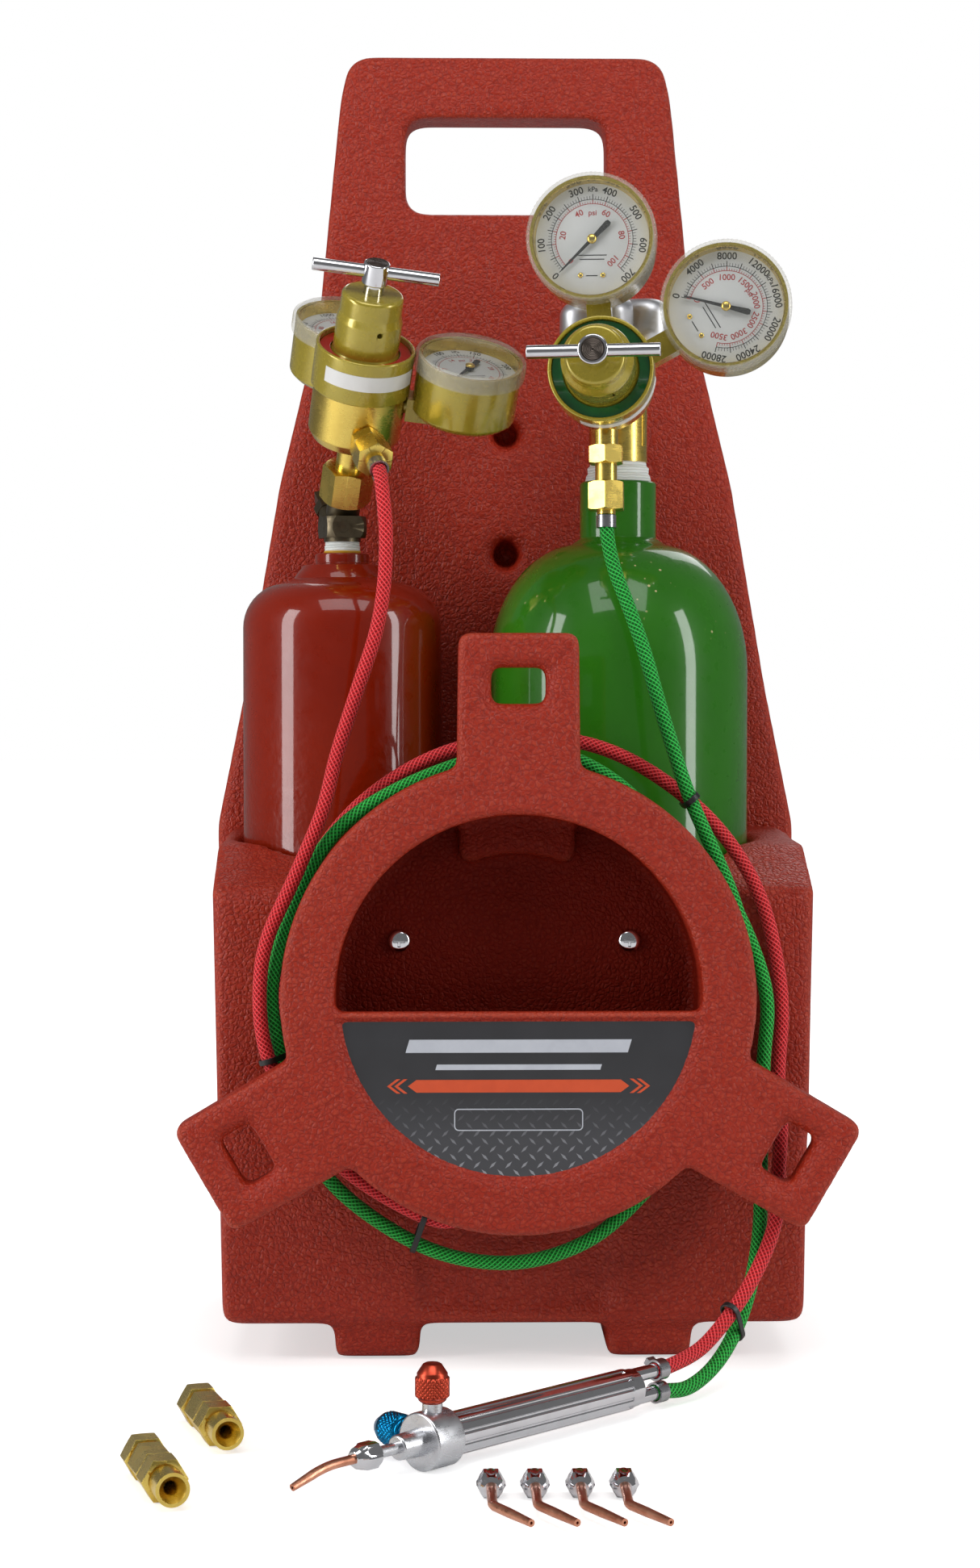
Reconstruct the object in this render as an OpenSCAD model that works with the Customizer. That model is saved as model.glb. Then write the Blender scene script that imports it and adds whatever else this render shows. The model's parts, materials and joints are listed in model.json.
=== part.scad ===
// Portable oxy-acetylene outfit: a moulded plastic tote that carries two gas cylinders with their valves
// and regulators, a hose rack with twin hose, and a small torch with its loose accessories on the floor.
// Millimetres, +Z up, +X to the right seen from the front, and the front faces -Y.
// Origin: on the floor, midway between the two runner feet, under the plane of the cylinder axes.

/* [Tote] */
// Height of the back frame's top edge
frame_top = 670.5; // [650:0.5:700]
// Thickness of the back frame
frame_thick = 35; // [30:1:40]
// Width of the hand hole
grip_w = 108; // [100:1:120]
// Height of the hand hole
grip_h = 51; // [45:1:58]
// Half width of the tank box at its top
box_half_top = 149; // [148:1:152]
// Half width of the tank box at its bottom
box_half_bottom = 143; // [142:1:146]
// Height of the runner feet
foot_h = 18; // [14:1:20]

/* [Hose rack] */
// Outer radius of the rack's ring plate
ring_r = 113; // [111:1:115]
// Inner radius of the rack's ring plate
ring_hole_r = 87; // [85:1:88]
// Distance from the rack's centre to the end of an arm
arm_reach = 173; // [168:1:176]
// Width of an arm
arm_w = 59; // [54:1:62]

/* [Cylinders] */
// Radius of the acetylene cylinder
acet_r = 51; // [50:0.5:52]
// Radius of the oxygen cylinder
oxy_r = 66.7; // [65:0.1:66.9]
// Outer diameter of an acetylene gauge
acet_gauge_d = 56; // [52:1:57]
// Outer diameter of an oxygen gauge
oxy_gauge_d = 64; // [58:1:66]

/* [Hoses] */
// Outer diameter of a hose
hose_d = 7; // [6.4:0.1:7.1]

/* [Hidden] */
$fn = 48;
slip = 0.05; // radial running clearance
cut = 1; // how far a cutting tool passes a face

// Colours
plastic_red = [0.66, 0.19, 0.15];
tank_red = [0.5, 0.12, 0.06];
tank_green = [0.22, 0.48, 0.16];
olive = [0.56, 0.5, 0.16];
brass = [0.8, 0.64, 0.26];
bronze = [0.36, 0.32, 0.26];
copper = [0.76, 0.44, 0.3];

// Tote
frame_front = 70;
frame_back = frame_front + frame_thick;
wall = 4;
box_front = -85;
box_top_front = 232;
box_top_back = 257;
pocket_floor = 26;
acet_c = [-86, 0];
oxy_c = [56, 0];
acet_pocket_r = acet_r + 2;
oxy_pocket_r = oxy_r + 1.3;
foot_x = [-67, 67];
foot_w = 42;
rack_c = [1, 184];
ring_front = -133;
ring_back = -115;
drum_r = 91;
rack_screw_x = [-56, 56];
rack_screw_z = 208;
bolt_x = [-132, 132];
bolt_z = [70, 215];

// Small mathematics

function unit(v) = v / norm(v);
function mix(a, b, t) = a * (1 - t) + b * t;
function at(list, i) = list[(i + len(list)) % len(list)];

// Corner i of an outline of [x, y, radius] points, as an arc of steps + 1 points
function corner(pts, i, steps) =
    let (
        p = [at(pts, i).x, at(pts, i).y],
        u = unit([at(pts, i - 1).x, at(pts, i - 1).y] - p),
        v = unit([at(pts, i + 1).x, at(pts, i + 1).y] - p),
        half = acos(min(1, max(-1, u * v))) / 2,
        r = at(pts, i)[2],
        c = p + unit(u + v) * r / sin(half)
    )
    r == 0 ? [p] : [for (k = [0:steps])
        c + r * unit(mix(unit(p + u * r / tan(half) - c), unit(p + v * r / tan(half) - c), k / steps))];
function rounded(pts, steps = 5) = [for (i = [0:len(pts) - 1]) each corner(pts, i, steps)];
function box_outline(w, h, r) = rounded([
    [-w / 2, -h / 2, r], [w / 2, -h / 2, r], [w / 2, h / 2, r], [-w / 2, h / 2, r]]);

// Catmull-Rom curve through control points, with steps points for each span
function spline_point(a, b, c, d, t) = 0.5 * (2 * b + (c - a) * t
    + (2 * a - 5 * b + 4 * c - d) * t * t + (3 * b - a - 3 * c + d) * t * t * t);
function spline(p, steps) = concat(
    [for (i = [0:len(p) - 2]) for (k = [0:steps - 1])
        spline_point(p[max(i - 1, 0)], p[i], p[i + 1], p[min(i + 2, len(p) - 1)], k / steps)],
    [p[len(p) - 1]]);

// Placing

// Local z along z, and local x as near to x as it can be
module frame_at(p, z, x) {
    zz = unit(z);
    yy = unit(cross(zz, x));
    xx = cross(yy, zz);
    multmatrix([
        [xx.x, yy.x, zz.x, p.x],
        [xx.y, yy.y, zz.y, p.y],
        [xx.z, yy.z, zz.z, p.z],
        [0, 0, 0, 1]]) children();
}

// A prism that stands on the XZ plane and runs from y0 to y1
module along_y(y0, y1) {
    translate([0, y1, 0]) rotate([90, 0, 0]) linear_extrude(y1 - y0) children();
}

module tube(r, bore, z0, z1) {
    translate([0, 0, z0]) difference() {
        cylinder(r = r, h = z1 - z0);
        translate([0, 0, -cut]) cylinder(r = bore, h = z1 - z0 + 2 * cut);
    }
}

module rod(r, z0, z1) {
    translate([0, 0, z0]) cylinder(r = r, h = z1 - z0);
}

// A hexagon bar by its width across flats, with its corners turned down at both ends
module hex(across, z0, z1) {
    corner_r = across / sqrt(3);
    intersection() {
        translate([0, 0, z0]) cylinder(r = corner_r, h = z1 - z0, $fn = 6);
        translate([0, 0, z0]) rotate_extrude() polygon([
            [0, 0], [across / 2, 0], [corner_r, (corner_r - across / 2) / 2],
            [corner_r, z1 - z0 - (corner_r - across / 2) / 2], [across / 2, z1 - z0], [0, z1 - z0]]);
    }
}

// A round bar swept along points, six-sided so that it stays light
module swept(points, r) {
    n = len(points);
    sides = 6;
    tangents = [for (i = [0:n - 1]) unit(points[min(i + 1, n - 1)] - points[max(i - 1, 0)])];
    side = cross(tangents[0], [0.31, 0.83, 0.46]);
    // Each frame is the last one turned the least that keeps it square to the curve
    normals = [for (i = 0, v = unit(side); i < n; i = i + 1,
        v = i < n ? unit(v - tangents[i] * (v * tangents[i])) : v) v];
    rings = [for (i = [0:n - 1]) let (a = unit(normals[i] - tangents[i] * (normals[i] * tangents[i])),
        b = cross(tangents[i], a))
        for (k = [0:sides - 1]) points[i] + r * (cos(k * 60) * a + sin(k * 60) * b)];
    polyhedron(rings, concat(
        [[for (k = [0:sides - 1]) k]],
        [[for (k = [sides - 1:-1:0]) (n - 1) * sides + k]],
        [for (i = [0:n - 2]) for (k = [0:sides - 1]) let (j = (k + 1) % sides)
            each [[i * sides + k, (i + 1) * sides + j, i * sides + j],
                [i * sides + k, (i + 1) * sides + k, (i + 1) * sides + j]]]));
}

// Tote

frame_half = [[150, 20], [156, 257], [141, 330], [122, 441], [101, 527], [89, 647]];
top_half = 84;

function frame_outline(inset) = rounded(concat(
    [for (p = frame_half) [p.x - inset, p.y + (p.y < 30 ? inset : 0), p.y < 30 ? 10 : 30]],
    [[top_half - inset, frame_top - inset, 12], [inset - top_half, frame_top - inset, 12]],
    [for (i = [len(frame_half) - 1:-1:0]) let (p = frame_half[i])
        [inset - p.x, p.y + (p.y < 30 ? inset : 0), p.y < 30 ? 10 : 30]]));

grip_z = 612;
recess_z = [403, 468];
recess_r = 9.2;
recess_depth = 20;

module back_frame() {
    color(plastic_red) difference() {
        along_y(frame_front, frame_back) polygon(frame_outline(0));
        along_y(frame_front - cut, frame_back + cut)
            translate([0, grip_z]) polygon(box_outline(grip_w, grip_h, 9));
        for (z = recess_z) {
            translate([0, frame_front - 0.01, z]) rotate([-90, 0, 0]) {
                cylinder(r1 = recess_r, r2 = 6, h = recess_depth);
                cylinder(r = 2.2, h = frame_thick + 1);
            }
        }
        for (x = bolt_x, z = bolt_z) {
            translate([x, 0, z]) rotate([-90, 0, 0]) {
                rod(3 + slip, frame_front - cut, frame_back + cut);
                rod(7, frame_back - 6, frame_back + cut);
            }
        }
        difference() {
            along_y(frame_front + wall, frame_back - wall) intersection() {
                polygon(frame_outline(wall + 2));
                translate([-200, 0]) square([400, grip_z - grip_h / 2 - 8]);
            }
            for (z = recess_z) {
                translate([0, frame_front, z]) rotate([-90, 0, 0]) cylinder(r = 13, h = frame_thick);
            }
            for (x = bolt_x, z = bolt_z) {
                translate([x, frame_front, z]) rotate([-90, 0, 0]) cylinder(r = 11, h = frame_thick);
            }
        }
    }
}

panel_w = 96;
panel_h = 52;
panel_z = 50;
panel_depth = 3.5;

// The box as a solid, drawn in from every side by inset
module box_solid(inset) {
    z0 = foot_h + inset;
    intersection() {
        along_y(box_front + inset, frame_front - inset) polygon(rounded([
            [inset - box_half_bottom, z0, 6], [box_half_bottom - inset, z0, 6],
            [box_half_top - inset, 300, 0], [inset - box_half_top, 300, 0]]));
        rotate([90, 0, 90]) translate([0, 0, -200]) linear_extrude(400) polygon(rounded([
            [box_front + inset, z0, 6], [frame_front - inset, z0, 0],
            [frame_front - inset, box_top_back - inset, 0], [-40, box_top_back - 4 - inset, 20],
            [box_front + inset, box_top_front - inset, 6]]));
    }
}

module tank_box() {
    color(plastic_red) difference() {
        union() {
            box_solid(0);
            for (x = foot_x) {
                rotate([90, 0, 90]) translate([0, 0, x - foot_w / 2]) linear_extrude(foot_w)
                    polygon(rounded([[-78, 0, 8], [62, 0, 8], [62, foot_h + 1, 0], [-78, foot_h + 1, 0]]));
            }
        }
        translate([acet_c.x, acet_c.y, 0]) rod(acet_pocket_r, pocket_floor, 300);
        translate([oxy_c.x, oxy_c.y, 0]) rod(oxy_pocket_r, pocket_floor, 300);
        along_y(box_front - cut, box_front + panel_depth)
            translate([rack_c.x, panel_z]) polygon(box_outline(panel_w, panel_h, 6));
        for (x = rack_screw_x) {
            translate([x, 0, rack_screw_z]) rotate([-90, 0, 0]) rod(2.4 + slip, box_front - cut, -72.5);
        }
        for (x = bolt_x, z = bolt_z) {
            translate([x, 0, z]) rotate([-90, 0, 0]) rod(3 + slip, 50, frame_front + cut);
        }
        difference() {
            box_solid(wall + 4);
            translate([acet_c.x, acet_c.y, 0]) cylinder(r = acet_pocket_r + wall, h = 300);
            translate([oxy_c.x, oxy_c.y, 0]) cylinder(r = oxy_pocket_r + 2, h = 300);
            for (x = rack_screw_x) {
                translate([x, 0, rack_screw_z]) rotate([-90, 0, 0]) rod(8, box_front, -68);
            }
            for (x = bolt_x, z = bolt_z) {
                translate([x, 0, z]) rotate([-90, 0, 0]) rod(9, 46, frame_front);
            }
        }
    }
}

arm_hole = [26, 17];
arm_hole_at = 148;
lip_z = -6; // the half-disc's top edge, from the rack's centre
label_depth = 4;

module rack_arm(inner) {
    polygon(rounded([[-arm_w / 2, inner, 0], [arm_w / 2, inner, 0],
        [arm_w / 2 - 1, arm_reach, 5], [1 - arm_w / 2, arm_reach, 5]]));
}

module hose_rack() {
    color(plastic_red) translate([rack_c.x, 0, rack_c.y]) difference() {
        union() {
            along_y(ring_front, ring_back) union() {
                circle(r = ring_r, $fn = 96);
                for (a = [0, 120, 240]) {
                    rotate(a) rack_arm(ring_r - 20);
                }
            }
            along_y(ring_back - 1, box_front) circle(r = drum_r, $fn = 96);
        }
        // The open upper half of the drum, and the hollow behind the closed lower half
        along_y(ring_front - cut, box_front - 5) difference() {
            circle(r = ring_hole_r, $fn = 96);
            translate([-200, lip_z - 400]) square([400, 400]);
        }
        along_y(ring_front + label_depth + 5, box_front - 5) circle(r = ring_hole_r, $fn = 96);
        // The shallow recess that takes the label
        along_y(ring_front - cut, ring_front + label_depth) intersection() {
            circle(r = ring_hole_r - 0.5, $fn = 96);
            translate([-200, lip_z - 403]) square([400, 400]);
        }
        for (a = [0, 120, 240]) {
            rotate([0, -a, 0]) translate([0, 0, arm_hole_at]) {
                along_y(ring_front - cut, ring_back + cut) polygon(box_outline(arm_hole.x, arm_hole.y, 3));
                along_y(ring_front - cut, ring_front + 2.5)
                    polygon(box_outline(arm_hole.x + 8, arm_hole.y + 6, 4));
            }
        }
        for (x = rack_screw_x) {
            translate([x - rack_c.x, 0, rack_screw_z - rack_c.y]) rotate([-90, 0, 0])
                rod(2.4 + slip, box_front - 6, box_front + cut);
        }
    }
    rack_boss();
}

boss_half = 28;
boss_z = [247, 268];

// A moulded pad under the drum's crown, with a scooped lower edge and two dimples
module rack_boss() {
    color(plastic_red) difference() {
        along_y(-106, box_front - 5) polygon(rounded([
            [rack_c.x - boss_half, boss_z[0], 5], [rack_c.x + boss_half, boss_z[0], 5],
            [rack_c.x + boss_half, boss_z[1], 0], [rack_c.x - boss_half, boss_z[1], 0]]));
        translate([rack_c.x, -120, boss_z[0] - 56]) rotate([-90, 0, 0]) cylinder(r = 60, h = 40);
        for (side = [-1, 1]) {
            translate([rack_c.x + side * 14, -107, boss_z[1] - 6]) rotate([-90, 0, 0])
                cylinder(r = 2.4, h = 3);
        }
    }
}

module rack_screws() {
    head_y = box_front - 5;
    color("silver") for (x = rack_screw_x) {
        translate([x, head_y, rack_screw_z]) rotate([90, 0, 0]) difference() {
            union() {
                rotate_extrude() polygon(rounded([[0, 0, 0], [5.5, 0, 0], [5.5, 3.2, 2], [0, 3.2, 0]]));
                rod(2.4, -16.5, 0);
            }
            for (a = [0, 90]) {
                rotate(a + 20) translate([-2.8, -0.6, 1.6]) cube([5.6, 1.2, 3]);
            }
        }
    }
}

module frame_bolts() {
    color("silver") for (x = bolt_x, z = bolt_z) {
        translate([x, 0, z]) rotate([-90, 0, 0]) {
            rod(3, 52, frame_back - 6);
            hex(10, frame_back - 6, frame_back - 0.5);
        }
    }
}

module label_plate() {
    y1 = ring_front + label_depth;
    color([0.24, 0.24, 0.26]) translate([rack_c.x, 0, rack_c.y]) along_y(y1 - 0.8, y1) intersection() {
        circle(r = ring_hole_r - 1.5, $fn = 96);
        translate([-200, lip_z - 404]) square([400, 400]);
    }
}

// Cylinders

function arc_points(c, r, a0, a1, steps) =
    [for (k = [0:steps]) let (a = mix(a0, a1, k / steps)) c + [r.x * cos(a), r.y * sin(a)]];

acet_top = 400;
acet_stem_r = 7.5;

function acet_profile(inset) = concat(
    arc_points([acet_r - 12, pocket_floor + 12], [12 - inset, 12 - inset], -90, 0, 6),
    arc_points([acet_r - 23, 362], [23 - inset, 23 - inset], 0, 78, 10));

module acetylene_tank() {
    color(tank_red) translate([acet_c.x, acet_c.y, 0]) difference() {
        rotate_extrude($fn = 96) polygon(concat([[0, pocket_floor]], acet_profile(0),
            [[25, 387], [24, 389], [20, 394], [14, 395]],
            [[14, acet_top - 0.5], [13.5, acet_top], [0, acet_top]]));
        rotate_extrude($fn = 96) polygon(concat([[0, pocket_floor + 3]], acet_profile(3),
            [[20, 383], [0, 384]]));
        rod(acet_stem_r + slip, 370, acet_top + cut);
    }
}

module acetylene_thread_seal() {
    color("white") translate([acet_c.x, acet_c.y, 0]) difference() {
        rotate_extrude() polygon([[0, acet_top], [9.4, acet_top], [9.4, acet_top + 1.4],
            [9, acet_top + 1.8], [9.2, acet_top + 3.8], [8.8, acet_top + 4], [8.8, acet_top + 6],
            [0, acet_top + 6]]);
        rod(acet_stem_r + slip, acet_top - cut, acet_top + 7);
    }
}

acet_u = [0.14, -0.5, 0.854]; // axis of the acetylene regulator
acet_nut = [-83.6, -5, 435.5]; // centre of its union nut
spindle_w = unit([-0.28, 0.72, 0.63]); // axis of the side spindle
valve_c = [acet_c.x, acet_c.y, 413.5];
spindle_base = valve_c + [-5.5, 8.5, 3.5];

module acet_frame() {
    frame_at(acet_nut, acet_u, [1, 0, 0]) children();
}

module spindle_frame() {
    frame_at(spindle_base, spindle_w, [1, 0, 0]) children();
}

module acetylene_valve_body() {
    color(bronze) difference() {
        union() {
            translate([acet_c.x, acet_c.y, 0]) {
                rod(acet_stem_r, 386, 410);
                rod(9.5, 406, 409);
            }
            intersection() {
                translate(valve_c) rotate([0, 0, 18]) cube([21, 22, 11], center = true);
                translate(valve_c) sphere(r = 13.8);
            }
            acet_frame() rod(8.6, -17, -1);
            translate([acet_c.x + 1, -10, 413.5]) rotate([90, 0, 0]) cylinder(r = 3, h = 2);
            spindle_frame() rod(5.2, -4, 8);
        }
        spindle_frame() rod(3.3 + slip, -4, 9);
        acet_frame() rod(3, -14, 0);
    }
}

module acetylene_packing_nut() {
    color(bronze) spindle_frame() difference() {
        hex(11, 8, 14);
        rod(3.3 + slip, 7, 15);
    }
}

module acetylene_valve_stem() {
    color(bronze) spindle_frame() {
        rod(3.3, -3, 15);
        translate([-3.4, -3.4, 15]) cube([6.8, 6.8, 8]);
    }
}

dome_base = 340;
dome_h = 65;
neck_r = 19.6;
oxy_top = 437;
oxy_stem_r = 12;

module oxygen_tank() {
    color(tank_green) translate([oxy_c.x, oxy_c.y, 0]) difference() {
        rotate_extrude($fn = 96) polygon(concat([[0, pocket_floor]],
            arc_points([oxy_r - 22, pocket_floor + 22], [22, 22], -90, 0, 7),
            arc_points([neck_r, dome_base], [oxy_r - neck_r, dome_h], 0, 84, 14),
            [[neck_r, dome_base + dome_h + 3], [neck_r, oxy_top - 1], [neck_r - 1, oxy_top], [0, oxy_top]]));
        rotate_extrude($fn = 96) polygon(concat([[0, pocket_floor + 5]],
            arc_points([oxy_r - 22, pocket_floor + 22], [17, 17], -90, 0, 7),
            arc_points([neck_r - 2, dome_base], [oxy_r - neck_r - 3, dome_h - 5], 0, 84, 10),
            [[0, dome_base + dome_h - 5]]));
        rod(oxy_stem_r + slip, 390, oxy_top + cut);
    }
}

module oxygen_thread_seal() {
    color("white") translate([oxy_c.x, oxy_c.y, 0]) difference() {
        rotate_extrude() polygon([[0, oxy_top], [17, oxy_top], [16.4, oxy_top + 3], [15.6, oxy_top + 4],
            [15.8, oxy_top + 7], [14.6, oxy_top + 8], [14.4, oxy_top + 10], [0, oxy_top + 10]]);
        rod(oxy_stem_r + slip, oxy_top - cut, oxy_top + 11);
    }
}

oxy_v = [-0.13, -0.985, 0.07]; // axis of the oxygen regulator
oxy_seat = [54, 0, 478]; // where that axis meets the valve

module oxy_frame() {
    frame_at(oxy_seat, oxy_v, [1, 0, 0]) children();
}

wheel_z = 505;
wheel_h = 24;

module oxygen_valve_body() {
    color(brass) difference() {
        union() {
            translate([oxy_c.x, oxy_c.y, 0]) {
                rod(oxy_stem_r, 415, 448);
                rod(15, oxy_top + 10, 498);
                hex(24, 494, wheel_z - 1);
                translate([-13, -9, 455]) cube([26, 18, 36]);
            }
            oxy_frame() rod(11, 8, 36);
            translate([oxy_c.x, 12, 478]) rotate([-90, 0, 0]) hex(15, 0, 12);
        }
        translate([oxy_c.x, oxy_c.y, 0]) rod(4 + slip, 480, wheel_z + cut);
        oxy_frame() rod(3.5, 4, 37);
    }
}

lobes = 6;

module oxygen_handwheel() {
    color([0.6, 0.6, 0.62]) translate([oxy_c.x, oxy_c.y, 0]) {
        rod(4, 482, wheel_z + 2);
        difference() {
            union() {
                rod(24, wheel_z, wheel_z + wheel_h);
                for (k = [0:lobes - 1]) {
                    rotate(k * 360 / lobes + 15) translate([23, 0, 0]) rod(9, wheel_z, wheel_z + wheel_h);
                }
            }
            rod(11, wheel_z + wheel_h - 6, wheel_z + wheel_h + cut);
            for (k = [0:lobes - 1]) {
                rotate((k + 0.5) * 360 / lobes + 15) translate([31, 0, 0])
                    rod(5.5, wheel_z - cut, wheel_z + wheel_h + cut);
            }
        }
        hex(9, wheel_z + wheel_h - 6, wheel_z + wheel_h - 1);
    }
}

// Regulators
// Each is drawn along its own axis: z is the distance along the axis, x points to the right.
// [body start, bonnet start, cap start, cap end, screw end, body r, bonnet r, cap r, cap end r, hub r]
acet_reg = [26, 55, 78, 106, 122, 23.5, 25, 16.5, 15.5, 6.5];
oxy_reg = [52, 76, 98, 134, 148, 24, 25.7, 17.5, 14.5, 7.2];
acet_nut_z = [-9, 10];
oxy_nut_z = [27, 46];
nipple_r = 7;
screw_r = 5;
screw_travel = 3.75;
port_r = 4;

module union_nut(nut_z, across, thread_r, seat) {
    difference() {
        hex(across, nut_z[0], nut_z[1]);
        rod(nipple_r + slip, nut_z[0] - cut, nut_z[1] + cut);
        rod(thread_r + slip, nut_z[0] - cut, seat);
    }
}

// Body: a turned brass barrel with an inlet nipple and a shallow seat for the diaphragm
module regulator_body(reg, seat, ports, outlet_z, outlet_a) {
    difference() {
        union() {
            rod(nipple_r, seat, reg[0] + 2);
            rod(10, reg[0] - 4, reg[0] + 1);
            translate([0, 0, reg[0]]) rotate_extrude($fn = 72) polygon(rounded([
                [0, 0, 0], [reg[5] - 3, 0, 2], [reg[5], 5, 2], [reg[5], reg[1] - reg[0], 0],
                [0, reg[1] - reg[0], 0]]));
        }
        rod(3, seat - cut, reg[1] - 8);
        rod(reg[5] - 1.5, reg[1] - 2, reg[1] + cut);
        for (p = ports) {
            rotate(p[0]) translate([0, 0, p[1]]) rotate([0, 90, 0]) rod(port_r + slip, 8, 40);
        }
        rotate(outlet_a) translate([0, 0, outlet_z]) rotate([0, 90, 0]) rod(port_r + slip, 8, 40);
    }
}

module diaphragm(reg) {
    rod(reg[5] - 1.6, reg[1] - 1.9, reg[1] - 0.1);
}

// Bonnet: a flange that clamps the diaphragm, and a cap that holds the range spring
module bonnet(reg) {
    difference() {
        rotate_extrude($fn = 72) polygon(rounded([
            [0, reg[1], 0], [reg[6], reg[1], 0.8], [reg[6], reg[2], 0.8],
            [reg[6] - 1.8, reg[2], 0.5], [reg[6] - 1.8, reg[2] - 4, 0], [reg[7] + 1, reg[2] - 4, 0],
            [reg[7], reg[2] - 2, 1], [reg[7], reg[3] - 14, 3], [reg[8], reg[3] - 10, 3],
            [reg[8], reg[3], 2], [0, reg[3], 0]]));
        rod(11.5, reg[1] - cut, reg[3] - 9);
        rod(reg[5] - 4, reg[1] - cut, reg[2] - 8);
        rod(screw_r + slip, reg[1], reg[3] + cut);
        rotate(-70) translate([0, 0, reg[2] + 12]) rotate([0, 90, 0]) rod(1.4, 9, 20);
    }
}

module colour_ring(reg) {
    tube(reg[6] - 1.9, reg[7] + 1.1, reg[2] - 4, reg[2] - 2.6);
}

spring_turns = 6;

// The range spring rests on the diaphragm plate and ends below the spring button
module range_spring(reg) {
    z0 = reg[1] + 2.2;
    z1 = reg[3] - 18 - screw_travel;
    rod(9.5, reg[1] + 0.1, reg[1] + 1.1);
    swept([for (k = [0:spring_turns * 12]) let (a = k * 30)
        [8 * cos(a), 8 * sin(a), mix(z0, z1, k / (spring_turns * 12))]], 1.1);
}

module spring_button(reg) {
    rod(10.8, reg[3] - 16, reg[3] - 13);
}

module adjusting_screw(reg) {
    difference() {
        union() {
            rod(screw_r, reg[3] - 13, reg[3] + 2 + screw_travel);
            translate([0, 0, reg[3] + 1 + screw_travel]) rotate_extrude() polygon(rounded([
                [0, 0, 0], [reg[9], 0, 0.8], [reg[9], reg[4] - reg[3] - 1 - screw_travel, 0.8],
                [0, reg[4] - reg[3] - 1 - screw_travel, 0]]));
        }
        translate([0, 0, reg[4] - 5]) rotate([0, 90, 0]) rod(3.2 + slip, -20, 20);
    }
}

tee_l = 63;

module tee_bar(reg, turn) {
    translate([0, 0, reg[4] - 5]) rotate([0, 90, turn]) rotate_extrude() polygon(rounded([
        [0, -tee_l / 2, 0], [3.2, -tee_l / 2, 0.6], [3.2, tee_l / 2, 0.6], [0, tee_l / 2, 0]]));
}

// Outlet: a port spigot, two hexes with a neck between, and a short collar that meets the hose
// [first hex start, end, second hex start, end, collar end], from the regulator's axis
acet_stack = [24.5, 31.5, 33, 45, 47.5];
oxy_stack = [32, 41, 50, 64, 66];

module outlet_fitting(reg, stack) {
    difference() {
        union() {
            rod(port_r, 9, reg[5] + 1);
            rod(6, reg[5] + 0.3, stack[0] + 1);
            hex(16, stack[0], stack[1]);
            rod(5.4, stack[1] - 1, stack[2] + 1);
            hex(17, stack[2], stack[3]);
            rod(4.6, stack[3] - 1, stack[4]);
        }
        rod(2, 8, 80);
    }
}

// A stepless ear clamp: a thin band with one pinched ear
module ear_clamp(z0) {
    tube(4.9, 3.95, z0, z0 + 6);
    translate([4.7, -1.6, z0 + 0.5]) cube([2.4, 3.2, 5]);
}

acet_outlet = [36, -76]; // place along the axis, and turn about it from local x
oxy_outlet = [61, -90];

module acet_outlet_frame() {
    acet_frame() rotate(acet_outlet[1]) translate([0, 0, acet_outlet[0]]) rotate([0, 90, 0]) children();
}

module oxy_outlet_frame() {
    oxy_frame() rotate(oxy_outlet[1]) translate([0, 0, oxy_outlet[0]]) rotate([0, 90, 0]) children();
}

// Gauges
// [turn about the regulator's axis, distance from it, place of the face, stem place, dial turn]
acet_low = [0, 53, 80, 48, 20];
acet_high = [100, 55, 68, 39, 0];
oxy_low = [94.5, 67, 87, 66, 0];
oxy_high = [28.2, 68, 87, 66, -60];
case_depth = 34;
stem_w = 12;
dial_z = -8.5;
zero_turn = 135; // a needle at zero points to the lower left

module gauge_frame(g) {
    rotate(g[0]) translate([g[1], 0, g[2]]) rotate(g[4] - g[0]) children();
}

// Case: a cup with a rear collar, and a square stem that ends in a spigot for the regulator's port
module gauge_case(g, d, body_r) {
    r = d / 2;
    difference() {
        union() {
            gauge_frame(g) rotate_extrude($fn = 72) polygon(rounded([
                [0, -case_depth, 0], [r - 5, -case_depth, 3], [r - 1.7, 3 - case_depth, 2],
                [r - 1.7, -2, 0], [0, -2, 0]]));
            rotate(g[0]) translate([body_r + 0.6, -stem_w / 2, g[3] - stem_w / 2])
                cube([g[1] - body_r - 6, stem_w, stem_w]);
            rotate(g[0]) translate([0, 0, g[3]]) rotate([0, 90, 0]) rod(port_r, 10, body_r + 1);
        }
        gauge_frame(g) rod(r - 3.2, dial_z - 1.5, 0);
        gauge_frame(g) rod(r - 6, 4 - case_depth, dial_z - 5);
    }
}

module gauge_dial(g, d) {
    gauge_frame(g) tube(d / 2 - 3.3, 1.2 + slip, dial_z - 1.45, dial_z);
}

// Lens: a clear cap with a gently domed front that slips over the case
module gauge_lens(g, d) {
    r = d / 2;
    dome = 2;
    gauge_frame(g) rotate_extrude($fn = 72) polygon(concat(
        [[r - 1.65, -9], [r, -9], [r, -1.2], [r - 1.4, 0]],
        [for (k = [1:6]) let (q = 1 - k / 6) [(r - 1.4) * q, dome * (1 - q * q)]],
        [for (k = [0:6]) let (q = k / 6) [(r - 2.9) * q, dome * (1 - q * q) - 1.6]],
        [[r - 1.65, -1.9]]));
}

// Needle: a tapered pointer with a tail, a hub and a spindle through the dial
module needle(g, d, turn) {
    reach = d * 0.33;
    gauge_frame(g) rotate(turn) {
        translate([0, 0, dial_z + 1.4]) linear_extrude(0.6) polygon([
            [-0.9, 0], [-1.5, -d * 0.17], [-1, -d * 0.19], [1, -d * 0.19], [1.5, -d * 0.17], [0.9, 0],
            [0.35, reach], [-0.35, reach]]);
        rod(1.2, dial_z - 1.2, dial_z + 2.4);
        rod(2.2, dial_z + 1.2, dial_z + 2.6);
    }
}

module gauge_dials(g1, g2, d) {
    gauge_dial(g1, d);
    gauge_dial(g2, d);
}

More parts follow.
